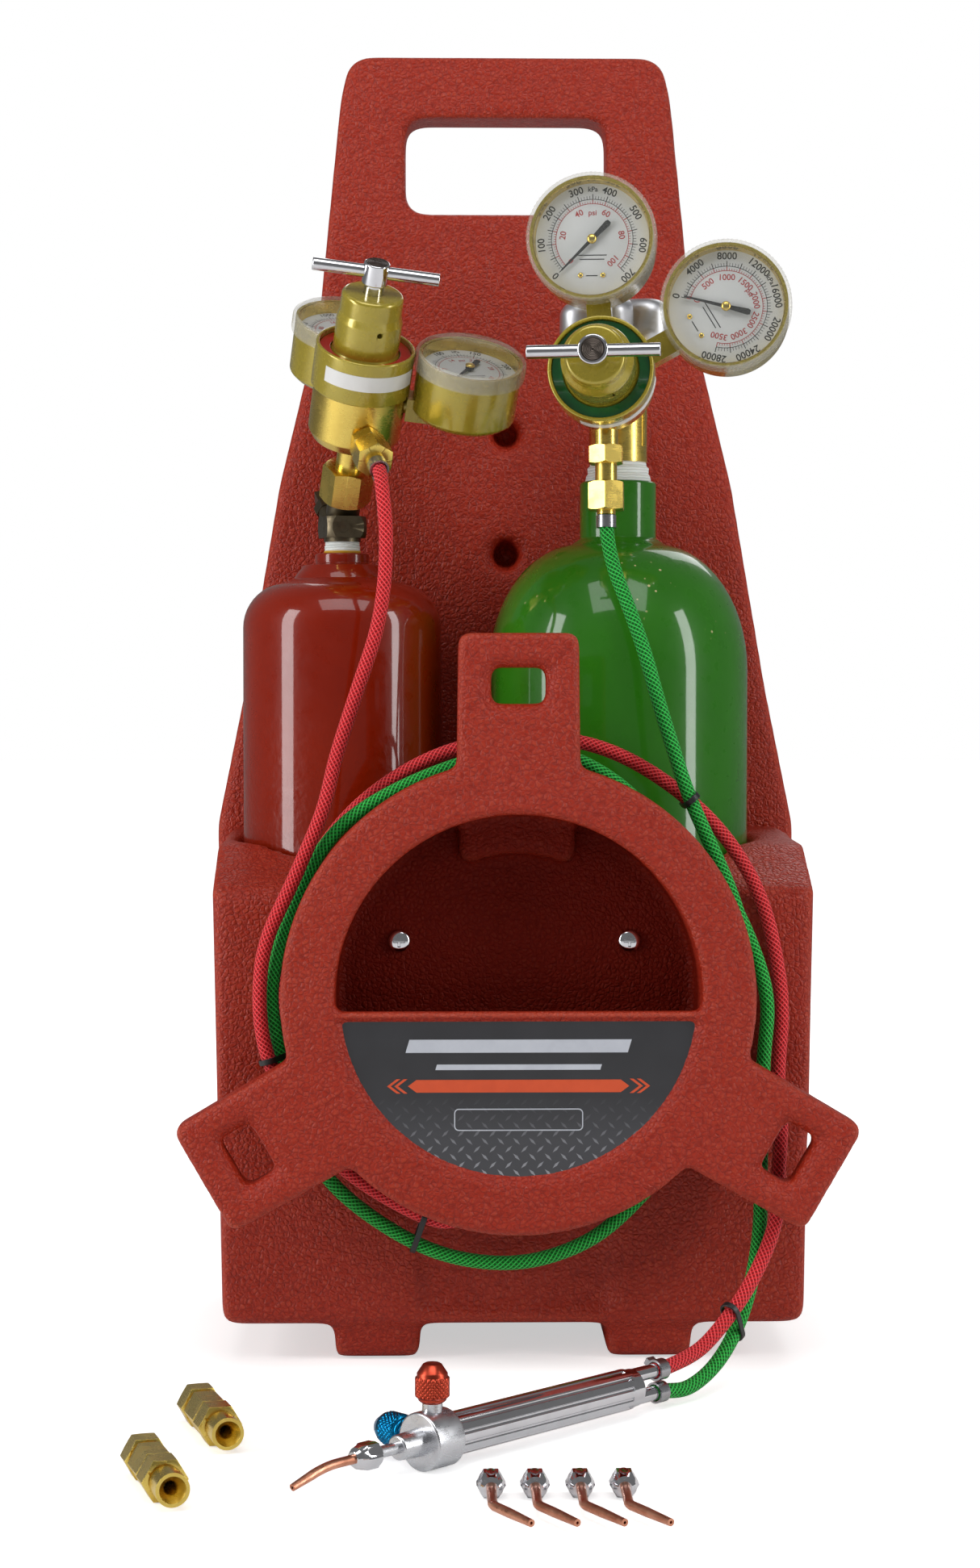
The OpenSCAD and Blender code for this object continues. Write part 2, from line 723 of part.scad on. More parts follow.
module gauge_lenses(g1, g2, d) {
    gauge_lens(g1, d);
    gauge_lens(g2, d);
}

// Each regulator's own pieces, in its own frame

module acet_union_nut() {
    color(brass) acet_frame() union_nut(acet_nut_z, 23, 8.6, -1);
}

module acet_regulator_body() {
    color(brass) acet_frame() regulator_body(acet_reg, -1,
        [[acet_low[0], acet_low[3]], [acet_high[0], acet_high[3]]], acet_outlet[0], acet_outlet[1]);
}

module acet_diaphragm() {
    color("gray") acet_frame() diaphragm(acet_reg);
}

module acet_bonnet() {
    color(olive) acet_frame() bonnet(acet_reg);
}

module acet_colour_ring() {
    color("red") acet_frame() colour_ring(acet_reg);
}

module acet_range_spring() {
    color("gray") acet_frame() range_spring(acet_reg);
}

module acet_spring_button() {
    color("silver") acet_frame() spring_button(acet_reg);
}

module acet_adjusting_screw() {
    color("silver") acet_frame() adjusting_screw(acet_reg);
}

module acet_tee_bar() {
    color("silver") acet_frame() tee_bar(acet_reg, 0);
}

module acet_outlet_fitting() {
    color(brass) acet_outlet_frame() outlet_fitting(acet_reg, acet_stack);
}

module acet_hose_clamp() {
    color("silver") acet_outlet_frame() ear_clamp(acet_stack[4] + 0.5);
}

module acet_low_gauge_case() {
    color(olive) acet_frame() gauge_case(acet_low, acet_gauge_d, acet_reg[5]);
}

module acet_high_gauge_case() {
    color(olive) acet_frame() gauge_case(acet_high, acet_gauge_d, acet_reg[5]);
}

module acet_gauge_dials() {
    color("white") acet_frame() gauge_dials(acet_low, acet_high, acet_gauge_d);
}

module acet_gauge_lenses() {
    color([0.8, 0.85, 0.85, 0.3]) acet_frame() gauge_lenses(acet_low, acet_high, acet_gauge_d);
}

module acet_low_needle() {
    color("black") acet_frame() needle(acet_low, acet_gauge_d, zero_turn);
}

module acet_high_needle() {
    color("black") acet_frame() needle(acet_high, acet_gauge_d, zero_turn);
}

module oxy_union_nut() {
    color(brass) oxy_frame() union_nut(oxy_nut_z, 28, 11, 36);
}

module oxy_regulator_body() {
    color(brass) oxy_frame() regulator_body(oxy_reg, 36,
        [[oxy_low[0], oxy_low[3]], [oxy_high[0], oxy_high[3]]], oxy_outlet[0], oxy_outlet[1]);
}

module oxy_diaphragm() {
    color("gray") oxy_frame() diaphragm(oxy_reg);
}

module oxy_bonnet() {
    color(olive) oxy_frame() bonnet(oxy_reg);
}

module oxy_colour_ring() {
    color("green") oxy_frame() colour_ring(oxy_reg);
}

module oxy_range_spring() {
    color("gray") oxy_frame() range_spring(oxy_reg);
}

module oxy_spring_button() {
    color("silver") oxy_frame() spring_button(oxy_reg);
}

module oxy_adjusting_screw() {
    color("silver") oxy_frame() adjusting_screw(oxy_reg);
}

module oxy_tee_bar() {
    color("silver") oxy_frame() tee_bar(oxy_reg, 0);
}

module oxy_outlet_fitting() {
    color(brass) oxy_outlet_frame() outlet_fitting(oxy_reg, oxy_stack);
}

module oxy_hose_clamp() {
    color("silver") oxy_outlet_frame() ear_clamp(oxy_stack[4] + 0.5);
}

module oxy_low_gauge_case() {
    color(olive) oxy_frame() gauge_case(oxy_low, oxy_gauge_d, oxy_reg[5]);
}

module oxy_high_gauge_case() {
    color(olive) oxy_frame() gauge_case(oxy_high, oxy_gauge_d, oxy_reg[5]);
}

module oxy_gauge_dials() {
    color("white") oxy_frame() gauge_dials(oxy_low, oxy_high, oxy_gauge_d);
}

module oxy_gauge_lenses() {
    color([0.8, 0.85, 0.85, 0.3]) oxy_frame() gauge_lenses(oxy_low, oxy_high, oxy_gauge_d);
}

module oxy_low_needle() {
    color("black") oxy_frame() needle(oxy_low, oxy_gauge_d, zero_turn);
}

module oxy_high_needle() {
    color("black") oxy_frame() needle(oxy_high, oxy_gauge_d, zero_turn);
}

// Hoses

// World direction of a turn about a regulator's axis, and the point where its outlet ends
function turned(axis, a) = let (up = unit(cross(unit(axis), [1, 0, 0])), side = cross(up, unit(axis)))
    cos(a) * side + sin(a) * up;
function outlet_tip(seat, axis, outlet, stack) =
    seat + unit(axis) * outlet[0] + turned(axis, outlet[1]) * stack[4];
// A point of the coil by its angle from the right, its radius and its depth
function coil(a, r, y) = [rack_c.x + r * cos(a), y, rack_c.y + r * sin(a)];

torch_c = [-40, -277, 12.5]; // centre of the torch head
torch_q = unit([-0.715, -0.7, 0]); // from the torch's rear towards its tip
torch_rear = -142; // where the hoses meet the torch, from the head
barb_up = 5.2;
tie_left = [coil(195, 118, -101), coil(195, 123.5, -108)];
tie_bottom = [coil(248, 131.5, -99), coil(248, 117, -105.5)];
tie_right = [coil(48, 125, -104), coil(48, 125, -90.5)];
tie_tail = [[104, -130, 25], [97.5, -139, 31]];

function hose_points(start, way, middle, end) = concat(
    [start + 0.2 * way, start + 3 * way, start + 7 * way], middle,
    [end - 8 * torch_q, end - 3 * torch_q, end - 0.2 * torch_q]);

red_tip = outlet_tip(acet_nut, acet_u, acet_outlet, acet_stack);
green_tip = outlet_tip(oxy_seat, oxy_v, oxy_outlet, oxy_stack);
red_end = torch_c + torch_rear * torch_q + [0, 0, barb_up];
green_end = torch_c + torch_rear * torch_q - [0, 0, barb_up];

// Red: down the left side, half round the coil, back on itself, then round and out at the right
red_path = spline(hose_points(red_tip, turned(acet_u, acet_outlet[1]), concat(
    [[-64, -77.5, 427], [-62.3, -83, 408], [-63, -85, 383], [-67, -88, 358], [-76, -94, 330],
        [-86, -101, 298]],
    [coil(137, 128, -107), coil(153, 120.5, -110), coil(172, 123.5, -109), tie_left[1],
        coil(222, 119, -108), tie_bottom[1], coil(257, 112, -102), coil(259, 105, -97.5),
        coil(254, 99.5, -93.5)],
    [for (k = [0:17]) coil(225 - k * 30, 97 + k * 0.9 + 0.0072 * pow(max(k - 5, 0), 3), -90.5)],
    [tie_right[1], coil(24, 127, -90.5), coil(0, 129, -90.5)],
    [[128.5, -93, 143], [129.5, -98, 122], [127.5, -104, 96], [125, -110, 72], [112.5, -124, 48],
        tie_tail[1], [84, -153, 21]]), red_end), 3);

// Green: down in front of the oxygen cylinder, round the outside, round the inside, then out
green_path = spline(hose_points(green_tip, turned(oxy_v, oxy_outlet[1]), concat(
    [[47.2, -66.3, 401], [50.2, -69.5, 388], [56, -75, 372]],
    [[63.5, -84, 349], [70, -93, 324], [77, -100, 300]],
    [tie_right[0], coil(20, 113, -107), coil(0, 108, -107), coil(-30, 107.5, -103),
        coil(-45, 109, -101), coil(-60, 117, -99), coil(-75, 126.5, -99), coil(-92, 132, -99),
        tie_bottom[0], coil(222, 128, -99.5), tie_left[0], coil(172, 117, -101),
        coil(135, 116.5, -101), coil(90, 116.5, -101), coil(60, 110, -106), coil(20, 100.5, -108)],
    [for (k = [0:8]) coil(-k * 30, 98.5, -108)],
    [coil(90, 99, -104.5), coil(60, 103, -99.5), coil(30, 111, -99), coil(2, 120, -98.5),
        coil(-15, 124, -98.5)],
    [[120, -99, 128], [119.5, -98.5, 96], [118.5, -104, 70], [113, -116, 45], tie_tail[0],
        [92, -147, 12], [78, -162, 5.5]]), green_end), 3);

module red_hose() {
    color([0.78, 0.2, 0.24]) swept(red_path, hose_d / 2);
}

module green_hose() {
    color([0.05, 0.55, 0.16]) swept(green_path, hose_d / 2);
}

// A tie that bands the two hoses at p and q, where they run along way
module tie(p, q, way) {
    reach = norm(q - p);
    inner = hose_d / 2 + 0.45;
    outer = inner + 1;
    frame_at(p, way, q - p) difference() {
        union() {
            rod(outer, -1.4, 1.4);
            translate([reach, 0, 0]) rod(outer, -1.4, 1.4);
            translate([0, -outer, -1.4]) cube([reach, 2 * outer, 2.8]);
        }
        rod(inner, -2, 2);
        translate([reach, 0, 0]) rod(inner, -2, 2);
        translate([0, -inner, -2]) cube([reach, 2 * inner, 4]);
    }
}

module zip_ties() {
    color([0.06, 0.06, 0.06]) {
        tie(tie_left[0], tie_left[1], coil(285, 1, 0) - [rack_c.x, 0, rack_c.y]);
        tie(tie_bottom[0], tie_bottom[1], coil(342, 1, 0) - [rack_c.x, 0, rack_c.y]);
        tie(tie_right[0], tie_right[1], coil(310, 1, 0) - [rack_c.x, 0, rack_c.y]);
        tie(tie_tail[0], tie_tail[1], [-0.6, -0.62, -0.5]);
    }
}

// Torch: local z runs towards the tip, and local x points up

handle_r = 9.3;
handle_z = [-122, -8];
head_r = 12.5;
nut_z = [33, 46];

module torch_frame() {
    frame_at(torch_c, torch_q, [0, 0, 1]) children();
}

module torch_handle() {
    color("silver") torch_frame() difference() {
        union() {
            rod(handle_r, handle_z[0], handle_z[1]);
            rod(handle_r - 0.7, handle_z[0] - 5, handle_z[0] + 1);
            for (side = [-1, 1]) {
                translate([side * barb_up, 0, 0]) rod(3.3, torch_rear, handle_z[0]);
            }
        }
        rod(7.4, handle_z[0], handle_z[1] + cut);
        for (k = [0:11]) {
            rotate(k * 30 + 15) translate([handle_r + 0.5, 0, 0]) rod(1.1, handle_z[0] + 3, handle_z[1] + cut);
        }
        for (side = [-1, 1]) {
            translate([side * barb_up, 0, 0]) rod(1.2, torch_rear - cut, handle_z[0] + cut);
        }
    }
}

module torch_head() {
    color([0.7, 0.7, 0.72]) torch_frame() difference() {
        union() {
            translate([0, 0, handle_z[1]]) rotate_extrude($fn = 72) polygon(rounded([
                [0, 0, 0], [head_r, 0, 1], [head_r, 16, 1], [6, 16, 0], [5.3, 29, 1], [0, 29, 0]]));
            rod(2.5, 10, nut_z[0]);
            for (side = [-1, 1]) {
                translate([side * 3.5, 0, 0]) rod(1.8, handle_z[0] + 0.1, handle_z[1] + 1);
            }
        }
        rotate([0, 90, 0]) rod(2.5 + slip, 5, 20);
        rotate([-90, 0, 0]) rod(2.5 + slip, 5, 20);
    }
}

tip_nut_l = 13;

// The centre line of a tip's tube: straight, then bent towards +x by angle, then straight again
function tip_path(straight, bend, angle, last) = let (z = tip_nut_l + straight) concat(
    [[0, 0, tip_nut_l], [0, 0, tip_nut_l + straight / 2]],
    [for (k = [0:5]) let (a = angle * k / 5) [bend * (1 - cos(a)), 0, z + bend * sin(a)]],
    [[bend * (1 - cos(angle)) + last * sin(angle), 0, z + bend * sin(angle) + last * cos(angle)]]);

// A tip: a hex nut with a tapered front, and a copper tube that bends by angle
module cutting_tip(straight, bend, angle, last) {
    intersection() {
        rod(6.5, 0, tip_nut_l);
        cylinder(r = 10.5 / sqrt(3), h = tip_nut_l, $fn = 6);
        rotate_extrude() polygon([[0, 0], [5.25, 0], [6.2, 0.6], [6.2, 8], [3, tip_nut_l], [0, tip_nut_l]]);
    }
    swept(tip_path(straight, bend, angle, last), 2);
}

module torch_tip() {
    color(copper) torch_frame() translate([0, 0, nut_z[0]]) rotate(180) cutting_tip(8, 50, 16, 12);
}

module valve_knob() {
    rod(2.5, 7, 15);
    rod(4.2, head_r + 0.2, 16.5);
    translate([0, 0, 15.5]) rotate_extrude() polygon(concat([[0, 0], [6.3, 0], [7.5, 1.2], [7.5, 11]],
        arc_points([0, 11], [7.5, 6.5], 0, 90, 7)));
}

module fuel_knob() {
    color([0.8, 0.22, 0.14]) torch_frame() rotate([0, 90, 0]) valve_knob();
}

module oxygen_knob() {
    color([0.1, 0.5, 0.7]) torch_frame() rotate([-90, 0, 0]) valve_knob();
}

module torch_hose_clamps() {
    color("silver") torch_frame() for (side = [-1, 1]) {
        translate([side * barb_up, 0, torch_rear]) rotate(side > 0 ? 60 : 120)
            rotate([180, 0, 0]) ear_clamp(0.5);
    }
}

// Loose accessories

tip_x = [-16, 2, 20.5, 38.5];
tip_y = -316;

module spare_tips() {
    color(copper) for (x = tip_x) {
        frame_at([x, tip_y, 5.25], [0, -1, 0], [1, 0, 0]) cutting_tip(20, 12, 30, 26);
    }
}

valve_starts = [[-146, -195], [-162, -283]];

module check_valves() {
    color(brass) for (p = valve_starts) {
        frame_at([p.x, p.y, 8.6], [18, -58, 0], [58, 18, 0]) difference() {
            union() {
                hex(17, 0, 11);
                rod(7.4, 10, 14);
                hex(16, 13, 32);
                rod(7.4, 31, 35);
                hex(17, 34, 46);
                rod(6, 45, 48);
                rod(7.1, 48, 60);
            }
            rod(4.8, -1, 12);
            rod(2.5, 11, 61);
            translate([0, 0, 55]) cylinder(r1 = 2.5, r2 = 5.6, h = 5.01);
        }
    }
}

back_frame();
tank_box();
hose_rack();
rack_screws();
frame_bolts();
label_plate();
acetylene_tank();
acetylene_thread_seal();
acetylene_valve_body();
acetylene_packing_nut();
acetylene_valve_stem();
oxygen_tank();
oxygen_thread_seal();
oxygen_valve_body();
oxygen_handwheel();
acet_union_nut();
acet_regulator_body();
acet_diaphragm();
acet_bonnet();
acet_colour_ring();
acet_range_spring();
acet_spring_button();
acet_adjusting_screw();
acet_tee_bar();
acet_outlet_fitting();
acet_hose_clamp();
acet_low_gauge_case();
acet_high_gauge_case();
acet_gauge_dials();
acet_gauge_lenses();
acet_low_needle();
acet_high_needle();
oxy_union_nut();
oxy_regulator_body();
oxy_diaphragm();
oxy_bonnet();
oxy_colour_ring();
oxy_range_spring();
oxy_spring_button();
oxy_adjusting_screw();
oxy_tee_bar();
oxy_outlet_fitting();
oxy_hose_clamp();
oxy_low_gauge_case();
oxy_high_gauge_case();
oxy_gauge_dials();
oxy_gauge_lenses();
oxy_low_needle();
oxy_high_needle();
red_hose();
green_hose();
zip_ties();
torch_handle();
torch_head();
torch_tip();
fuel_knob();
oxygen_knob();
torch_hose_clamps();
spare_tips();
check_valves();
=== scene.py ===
"""Looks of a portable oxy-acetylene outfit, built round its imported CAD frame.

Units are metres, +Z is up and the front faces -Y.
"""

import json
import math

import bmesh
import bpy
import numpy as np
from mathutils import Matrix, Vector


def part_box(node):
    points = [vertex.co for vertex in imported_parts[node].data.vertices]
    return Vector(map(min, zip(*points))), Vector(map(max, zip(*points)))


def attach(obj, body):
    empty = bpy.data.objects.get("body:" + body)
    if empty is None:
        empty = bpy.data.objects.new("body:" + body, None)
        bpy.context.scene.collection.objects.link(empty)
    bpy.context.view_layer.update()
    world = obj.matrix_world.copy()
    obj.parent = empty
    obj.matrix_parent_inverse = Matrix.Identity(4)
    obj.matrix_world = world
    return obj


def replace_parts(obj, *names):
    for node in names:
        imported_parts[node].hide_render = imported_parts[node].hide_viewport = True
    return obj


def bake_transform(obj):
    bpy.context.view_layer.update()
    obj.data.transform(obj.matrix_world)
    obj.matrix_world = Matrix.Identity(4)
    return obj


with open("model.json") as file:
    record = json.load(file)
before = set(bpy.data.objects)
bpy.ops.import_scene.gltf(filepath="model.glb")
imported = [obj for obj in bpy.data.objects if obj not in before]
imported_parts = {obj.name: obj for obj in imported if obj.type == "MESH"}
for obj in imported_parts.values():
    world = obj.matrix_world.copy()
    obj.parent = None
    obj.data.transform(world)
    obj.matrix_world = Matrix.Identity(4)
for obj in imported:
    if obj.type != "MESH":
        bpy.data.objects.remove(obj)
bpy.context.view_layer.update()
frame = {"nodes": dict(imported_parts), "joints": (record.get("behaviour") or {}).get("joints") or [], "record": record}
NODES = frame["nodes"]
JOINTS = {j["name"]: j for j in frame["joints"]}
RECORD = frame["record"]
BODY_OF = {n: body for body, names in RECORD["behaviour"]["bodies"].items() for n in names}
SLOT_OF = {s["node"]: s["material_slot"] for s in RECORD["subparts"]}


# -------------------- materials


def srgb(*levels):
    """Linear colour from 8-bit sRGB levels."""
    linear = [((c / 255 + 0.055) / 1.055) ** 2.4 if c > 10 else c / 3295 for c in levels]
    return (*linear, 1.0)


class Look:
    """A Principled material with short calls for the nodes that feed it."""

    def __init__(self, name, colour, rough, metal=0.0, **inputs):
        self.mat = bpy.data.materials.new(name)
        self.mat.use_nodes = True
        self.nt = self.mat.node_tree
        self.bsdf = self.nt.nodes["Principled BSDF"]
        self.place = self.node("ShaderNodeTexCoord").outputs["Object"]
        self.put("Base Color", colour)
        self.put("Roughness", rough)
        self.put("Metallic", metal)
        for key, value in inputs.items():
            self.put(key.replace("_", " "), value)

    def node(self, kind, inputs=(), **props):
        """A new node with its properties set and its inputs filled or linked."""
        made = self.nt.nodes.new(kind)
        for key, value in props.items():
            setattr(made, key, value)
        for key, value in dict(inputs).items():
            self.plug(made.inputs[key], value)
        return made

    def plug(self, socket, value):
        if isinstance(value, bpy.types.NodeSocket):
            self.nt.links.new(value, socket)
        else:
            socket.default_value = value

    def put(self, name, value):
        """Sets or links an input of the Principled shader."""
        self.plug(self.bsdf.inputs[name], value)

    def noise(self, scale, detail, rough=0.5, stretch=None):
        vector = self.place
        if stretch:
            vector = self.node("ShaderNodeMapping", {"Vector": vector, "Scale": stretch}).outputs[0]
        return self.node("ShaderNodeTexNoise", {"Vector": vector, "Scale": scale, "Detail": detail,
                                                "Roughness": rough}).outputs["Fac"]

    def cells(self, scale, feature="F1", at=None):
        return self.node("ShaderNodeTexVoronoi", {"Vector": at or self.place, "Scale": scale},
                         feature=feature).outputs["Distance"]

    def maths(self, operation, a, b=0.0, c=0.0):
        made = self.node("ShaderNodeMath", {0: a, 1: b}, operation=operation)
        self.plug(made.inputs[2], c)
        return made.outputs[0]

    def span(self, value, low, high, to_low=0.0, to_high=1.0):
        """value taken from low..high to to_low..to_high, and clamped there."""
        limits = {"From Min": low, "From Max": high, "To Min": to_low, "To Max": to_high}
        return self.node("ShaderNodeMapRange", {"Value": value, **limits}).outputs["Result"]

    def mix(self, share, a, b):
        made = self.node("ShaderNodeMix", data_type="RGBA")
        for socket, value in zip((made.inputs[0], made.inputs[6], made.inputs[7]), (share, a, b)):
            self.plug(socket, value)
        return made.outputs[2]

    def axis(self, letter, of=None):
        return self.node("ShaderNodeSeparateXYZ", {0: of or self.place}).outputs[letter]

    def edge(self):
        """1 on convex edges and 0 on flats and hollows."""
        return self.span(self.node("ShaderNodeNewGeometry").outputs["Pointiness"], 0.52, 0.6)

    def bump(self, height, strength, distance):
        """Adds relief on top of any relief that is there already."""
        made = self.node("ShaderNodeBump", {"Height": height, "Strength": strength,
                                            "Distance": distance})
        if self.bsdf.inputs["Normal"].links:
            self.plug(made.inputs["Normal"], self.bsdf.inputs["Normal"].links[0].from_socket)
        self.put("Normal", made.outputs[0])
        return self


def plastic_red(name, hollow=None):
    """Blow-moulded polyethylene with a fine leather grain, and painted shade further back than hollow."""
    look = Look(name, srgb(150, 36, 18), 0.45, Specular_IOR_Level=0.3)
    wander = look.node("ShaderNodeTexNoise", {"Vector": look.place, "Scale": 260.0,
                                              "Detail": 2.0}).outputs["Color"]
    warped = look.node("ShaderNodeVectorMath", {0: wander, 1: (0.0016,) * 3, 2: look.place},
                       operation="MULTIPLY_ADD").outputs[0]
    pebble = look.cells(520, "SMOOTH_F1", at=warped)
    valley = look.span(look.cells(420, "DISTANCE_TO_EDGE", at=warped), 0.0, 0.25)
    fine = look.noise(1300, 3)
    relief = look.maths("MULTIPLY_ADD", pebble, -0.8, look.maths("MULTIPLY", fine, 0.4))
    relief = look.maths("MULTIPLY_ADD", valley, 0.45, relief)
    tone = look.mix(look.noise(7, 3), srgb(152, 36, 16), srgb(162, 42, 20))
    # Painted shade: the grain's low spots darken.
    tone = look.mix(look.span(relief, 0.1, -0.25, 0.0, 0.5), tone, srgb(112, 18, 8))
    # Painted highlight: convex edges turn lighter, as where the lamps catch the rounded edges.
    tone = look.mix(look.maths("MULTIPLY", look.edge(), 0.6), tone, srgb(206, 100, 74))
    # Painted glints on the pebble tops of the grain.
    crest_glint = look.span(relief, 0.24, 0.42, 0.0, 0.32)
    tone = look.mix(crest_glint, tone, srgb(186, 78, 52))
    scuff = look.span(look.noise(46, 7, 0.8), 0.64, 0.78, 0.0, 0.28)
    tone = look.mix(scuff, tone, srgb(184, 82, 58))
    # Painted shade: behind the ring plate, in the rack's drum, the colour darkens and the specular drops, as where
    # little light reaches.
    if hollow is not None:
        deep = hollow + 0.014
        look.put("Specular IOR Level", look.span(look.axis("Y"), hollow, deep, 0.3, 0.06))
        grime_and_painted_shade = look.span(look.axis("Y"), hollow, deep, 0.0, 0.72)
        tone = look.mix(grime_and_painted_shade, tone, srgb(70, 7, 3))
    look.put("Base Color", tone)
    look.put("Roughness", look.span(look.noise(150, 3), 0.3, 0.7, 0.34, 0.5))
    return look.bump(relief, 0.7, 0.0009).mat


def enamel(name, colour, deep, peel_top, chipped=False):
    """Thick gloss paint with orange peel that grows below peel_top, and small chips in a band."""
    look = Look(name, colour, 0.3, Coat_Weight=0.75, Coat_Roughness=0.06, Specular_IOR_Level=0.12)
    cloud = look.noise(14, 4)
    grime_and_painted_shade = look.span(look.noise(60, 6, 0.7), 0.6, 0.8, 0.0, 0.35)
    tone = look.mix(grime_and_painted_shade, look.mix(cloud, deep, colour), deep)
    look.put("Base Color", tone)
    look.put("Roughness", look.span(look.noise(120, 3), 0.3, 0.7, 0.24, 0.4))
    low = look.span(look.axis("Z"), peel_top, peel_top - 0.09)
    peel = look.maths("MULTIPLY", look.noise(230, 2), look.maths("ADD", low, 0.16))
    look.bump(peel, 0.5, 0.0012)
    if chipped:
        z = look.axis("Z")
        band = look.maths("MULTIPLY", look.span(z, 0.352, 0.362), look.span(z, 0.402, 0.392))
        speck = look.span(look.cells(210), 0.17, 0.12)
        patch = look.span(look.noise(38, 2), 0.56, 0.62)
        worn = look.maths("MULTIPLY", look.maths("MULTIPLY", speck, patch), band)
        look.put("Base Color", look.mix(worn, tone, srgb(205, 190, 140)))
    return look.mat


def metal(name, colour, dull, rough, wear=0.25, lines=1.0):
    """Turned or cast metal: cloudy tarnish, fine tool lines and a varying polish."""
    look = Look(name, colour, rough, 1.0)
    tarnish = look.span(look.noise(110, 4, 0.55), 0.46, 0.72, 0.0, 1.0)
    look.put("Base Color", look.mix(look.maths("MULTIPLY", tarnish, wear), colour, dull))
    lathe_marks = look.noise(900, 2, stretch=(0.15, 0.15, 3.0))
    dullness = look.maths("ADD", lathe_marks, tarnish)
    look.put("Roughness", look.span(dullness, 0.5, 1.7, rough * 0.8, rough * 1.3))
    return look.bump(lathe_marks, 0.07 * lines, 0.0002).mat


def lacquer(name, colour, deep):
    """Tinted lacquer over bare brass."""
    look = Look(name, colour, 0.22, 0.35, Coat_Weight=0.7, Coat_Roughness=0.08)
    look.put("Base Color", look.mix(look.noise(70, 3), deep, colour))
    look.put("Roughness", look.span(look.noise(260, 3), 0.3, 0.7, 0.18, 0.32))
    return look.bump(look.noise(700, 2), 0.06, 0.0003).mat


def gloss(name, colour, deep, rough=0.12, coat=0.8):
    """Smooth paint, plastic or paper under a clear coat."""
    look = Look(name, colour, rough, Coat_Weight=coat, Coat_Roughness=0.05)
    look.put("Base Color", look.mix(look.noise(150, 3), deep, colour))
    return look.bump(look.noise(520, 2), 0.05, 0.0003).mat


def thread_tape(name):
    """White tape in wraps, with amber thread dope showing at its foot on the left."""
    look = Look(name, srgb(236, 236, 232), 0.55, Subsurface_Weight=0.1)
    wraps = look.node("ShaderNodeTexWave", {"Vector": look.place, "Scale": 230, "Distortion": 2.2},
                      bands_direction="Z").outputs["Fac"]
    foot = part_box("acetylene_thread_seal")[0].z
    dope = look.span(look.axis("Z"), foot + 0.0017, foot + 0.0012)
    amber = look.maths("MULTIPLY", dope, look.span(look.axis("X"), -0.01, -0.02))
    tape = look.mix(wraps, srgb(214, 214, 208), srgb(244, 244, 240))
    look.put("Base Color", look.mix(amber, tape, srgb(206, 150, 24)))
    return look.bump(wraps, 0.5, 0.0004).mat


def braid(name, colour, deep, strand_highlight):
    """Fine diagonal weave on the hose's own map: x runs round it, y is metres along it."""
    look = Look(name, colour, 0.62, Sheen_Weight=0.08, Specular_IOR_Level=0.2)
    uv = look.node("ShaderNodeUVMap", uv_map="weave").outputs[0]
    around, along = look.axis("X", uv), look.axis("Y", uv)
    strands, pitch = 9, 0.0026
    turns = look.maths("MULTIPLY", around, strands * 2 * math.pi)
    steps = look.maths("MULTIPLY", along, 2 * math.pi / pitch)
    left = look.maths("SINE", look.maths("ADD", turns, steps))
    right = look.maths("SINE", look.maths("SUBTRACT", turns, steps))
    weave = look.span(look.maths("MAXIMUM", left, right), -0.4, 1.0)
    fuzz = look.noise(1600, 3)
    # Painted shade: the gaps between strands take the deep colour.
    tone = look.mix(weave, deep, colour)
    # Painted highlight on the crowns of one set of strands.
    tone = look.mix(look.span(left, 0.4, 1.0, 0.0, 0.75), tone, strand_highlight)
    look.put("Base Color", look.mix(look.span(fuzz, 0.45, 0.75, 0.0, 0.35), tone, deep))
    look.bump(weave, 0.7, 0.0004)
    return look.bump(fuzz, 0.2, 0.0002).mat


def clear_plastic(name, colour, alpha, rough):
    """Clear plastic that lets all but the share alpha of the light through."""
    look = Look(name, colour, rough, IOR=1.49, Alpha=alpha, Specular_IOR_Level=0.7)
    return look.bump(look.noise(300, 2), 0.03, 0.0003).mat


def matt(name, low, high, rough, cloud, relief, depth=0.0003):
    """A dull material whose grey wanders from low to high, with a fine grain."""
    look = Look(name, high, rough)
    look.put("Base Color", look.mix(look.noise(*cloud), low, high))
    return look.bump(look.noise(900, 2), relief, depth).mat


def ink(name, colour):
    """Print that varies a little in strength."""
    look = Look(name, colour, 0.5)
    faded = (*(c * 1.6 for c in colour[:3]), 1)
    look.put("Base Color", look.mix(look.noise(800, 3), colour, faded))
    return look.mat


def copper(name):
    """Drawn copper tube, unevenly tinted by heat."""
    look = Look(name, srgb(216, 152, 124), 0.32, 1.0)
    heat = look.span(look.noise(90, 5, 0.6), 0.4, 0.7)
    look.put("Base Color", look.mix(heat, srgb(222, 160, 132), srgb(194, 126, 98)))
    look.put("Roughness", look.span(look.noise(500, 3), 0.3, 0.7, 0.26, 0.42))
    return look.bump(look.noise(1200, 2), 0.1, 0.0002).mat


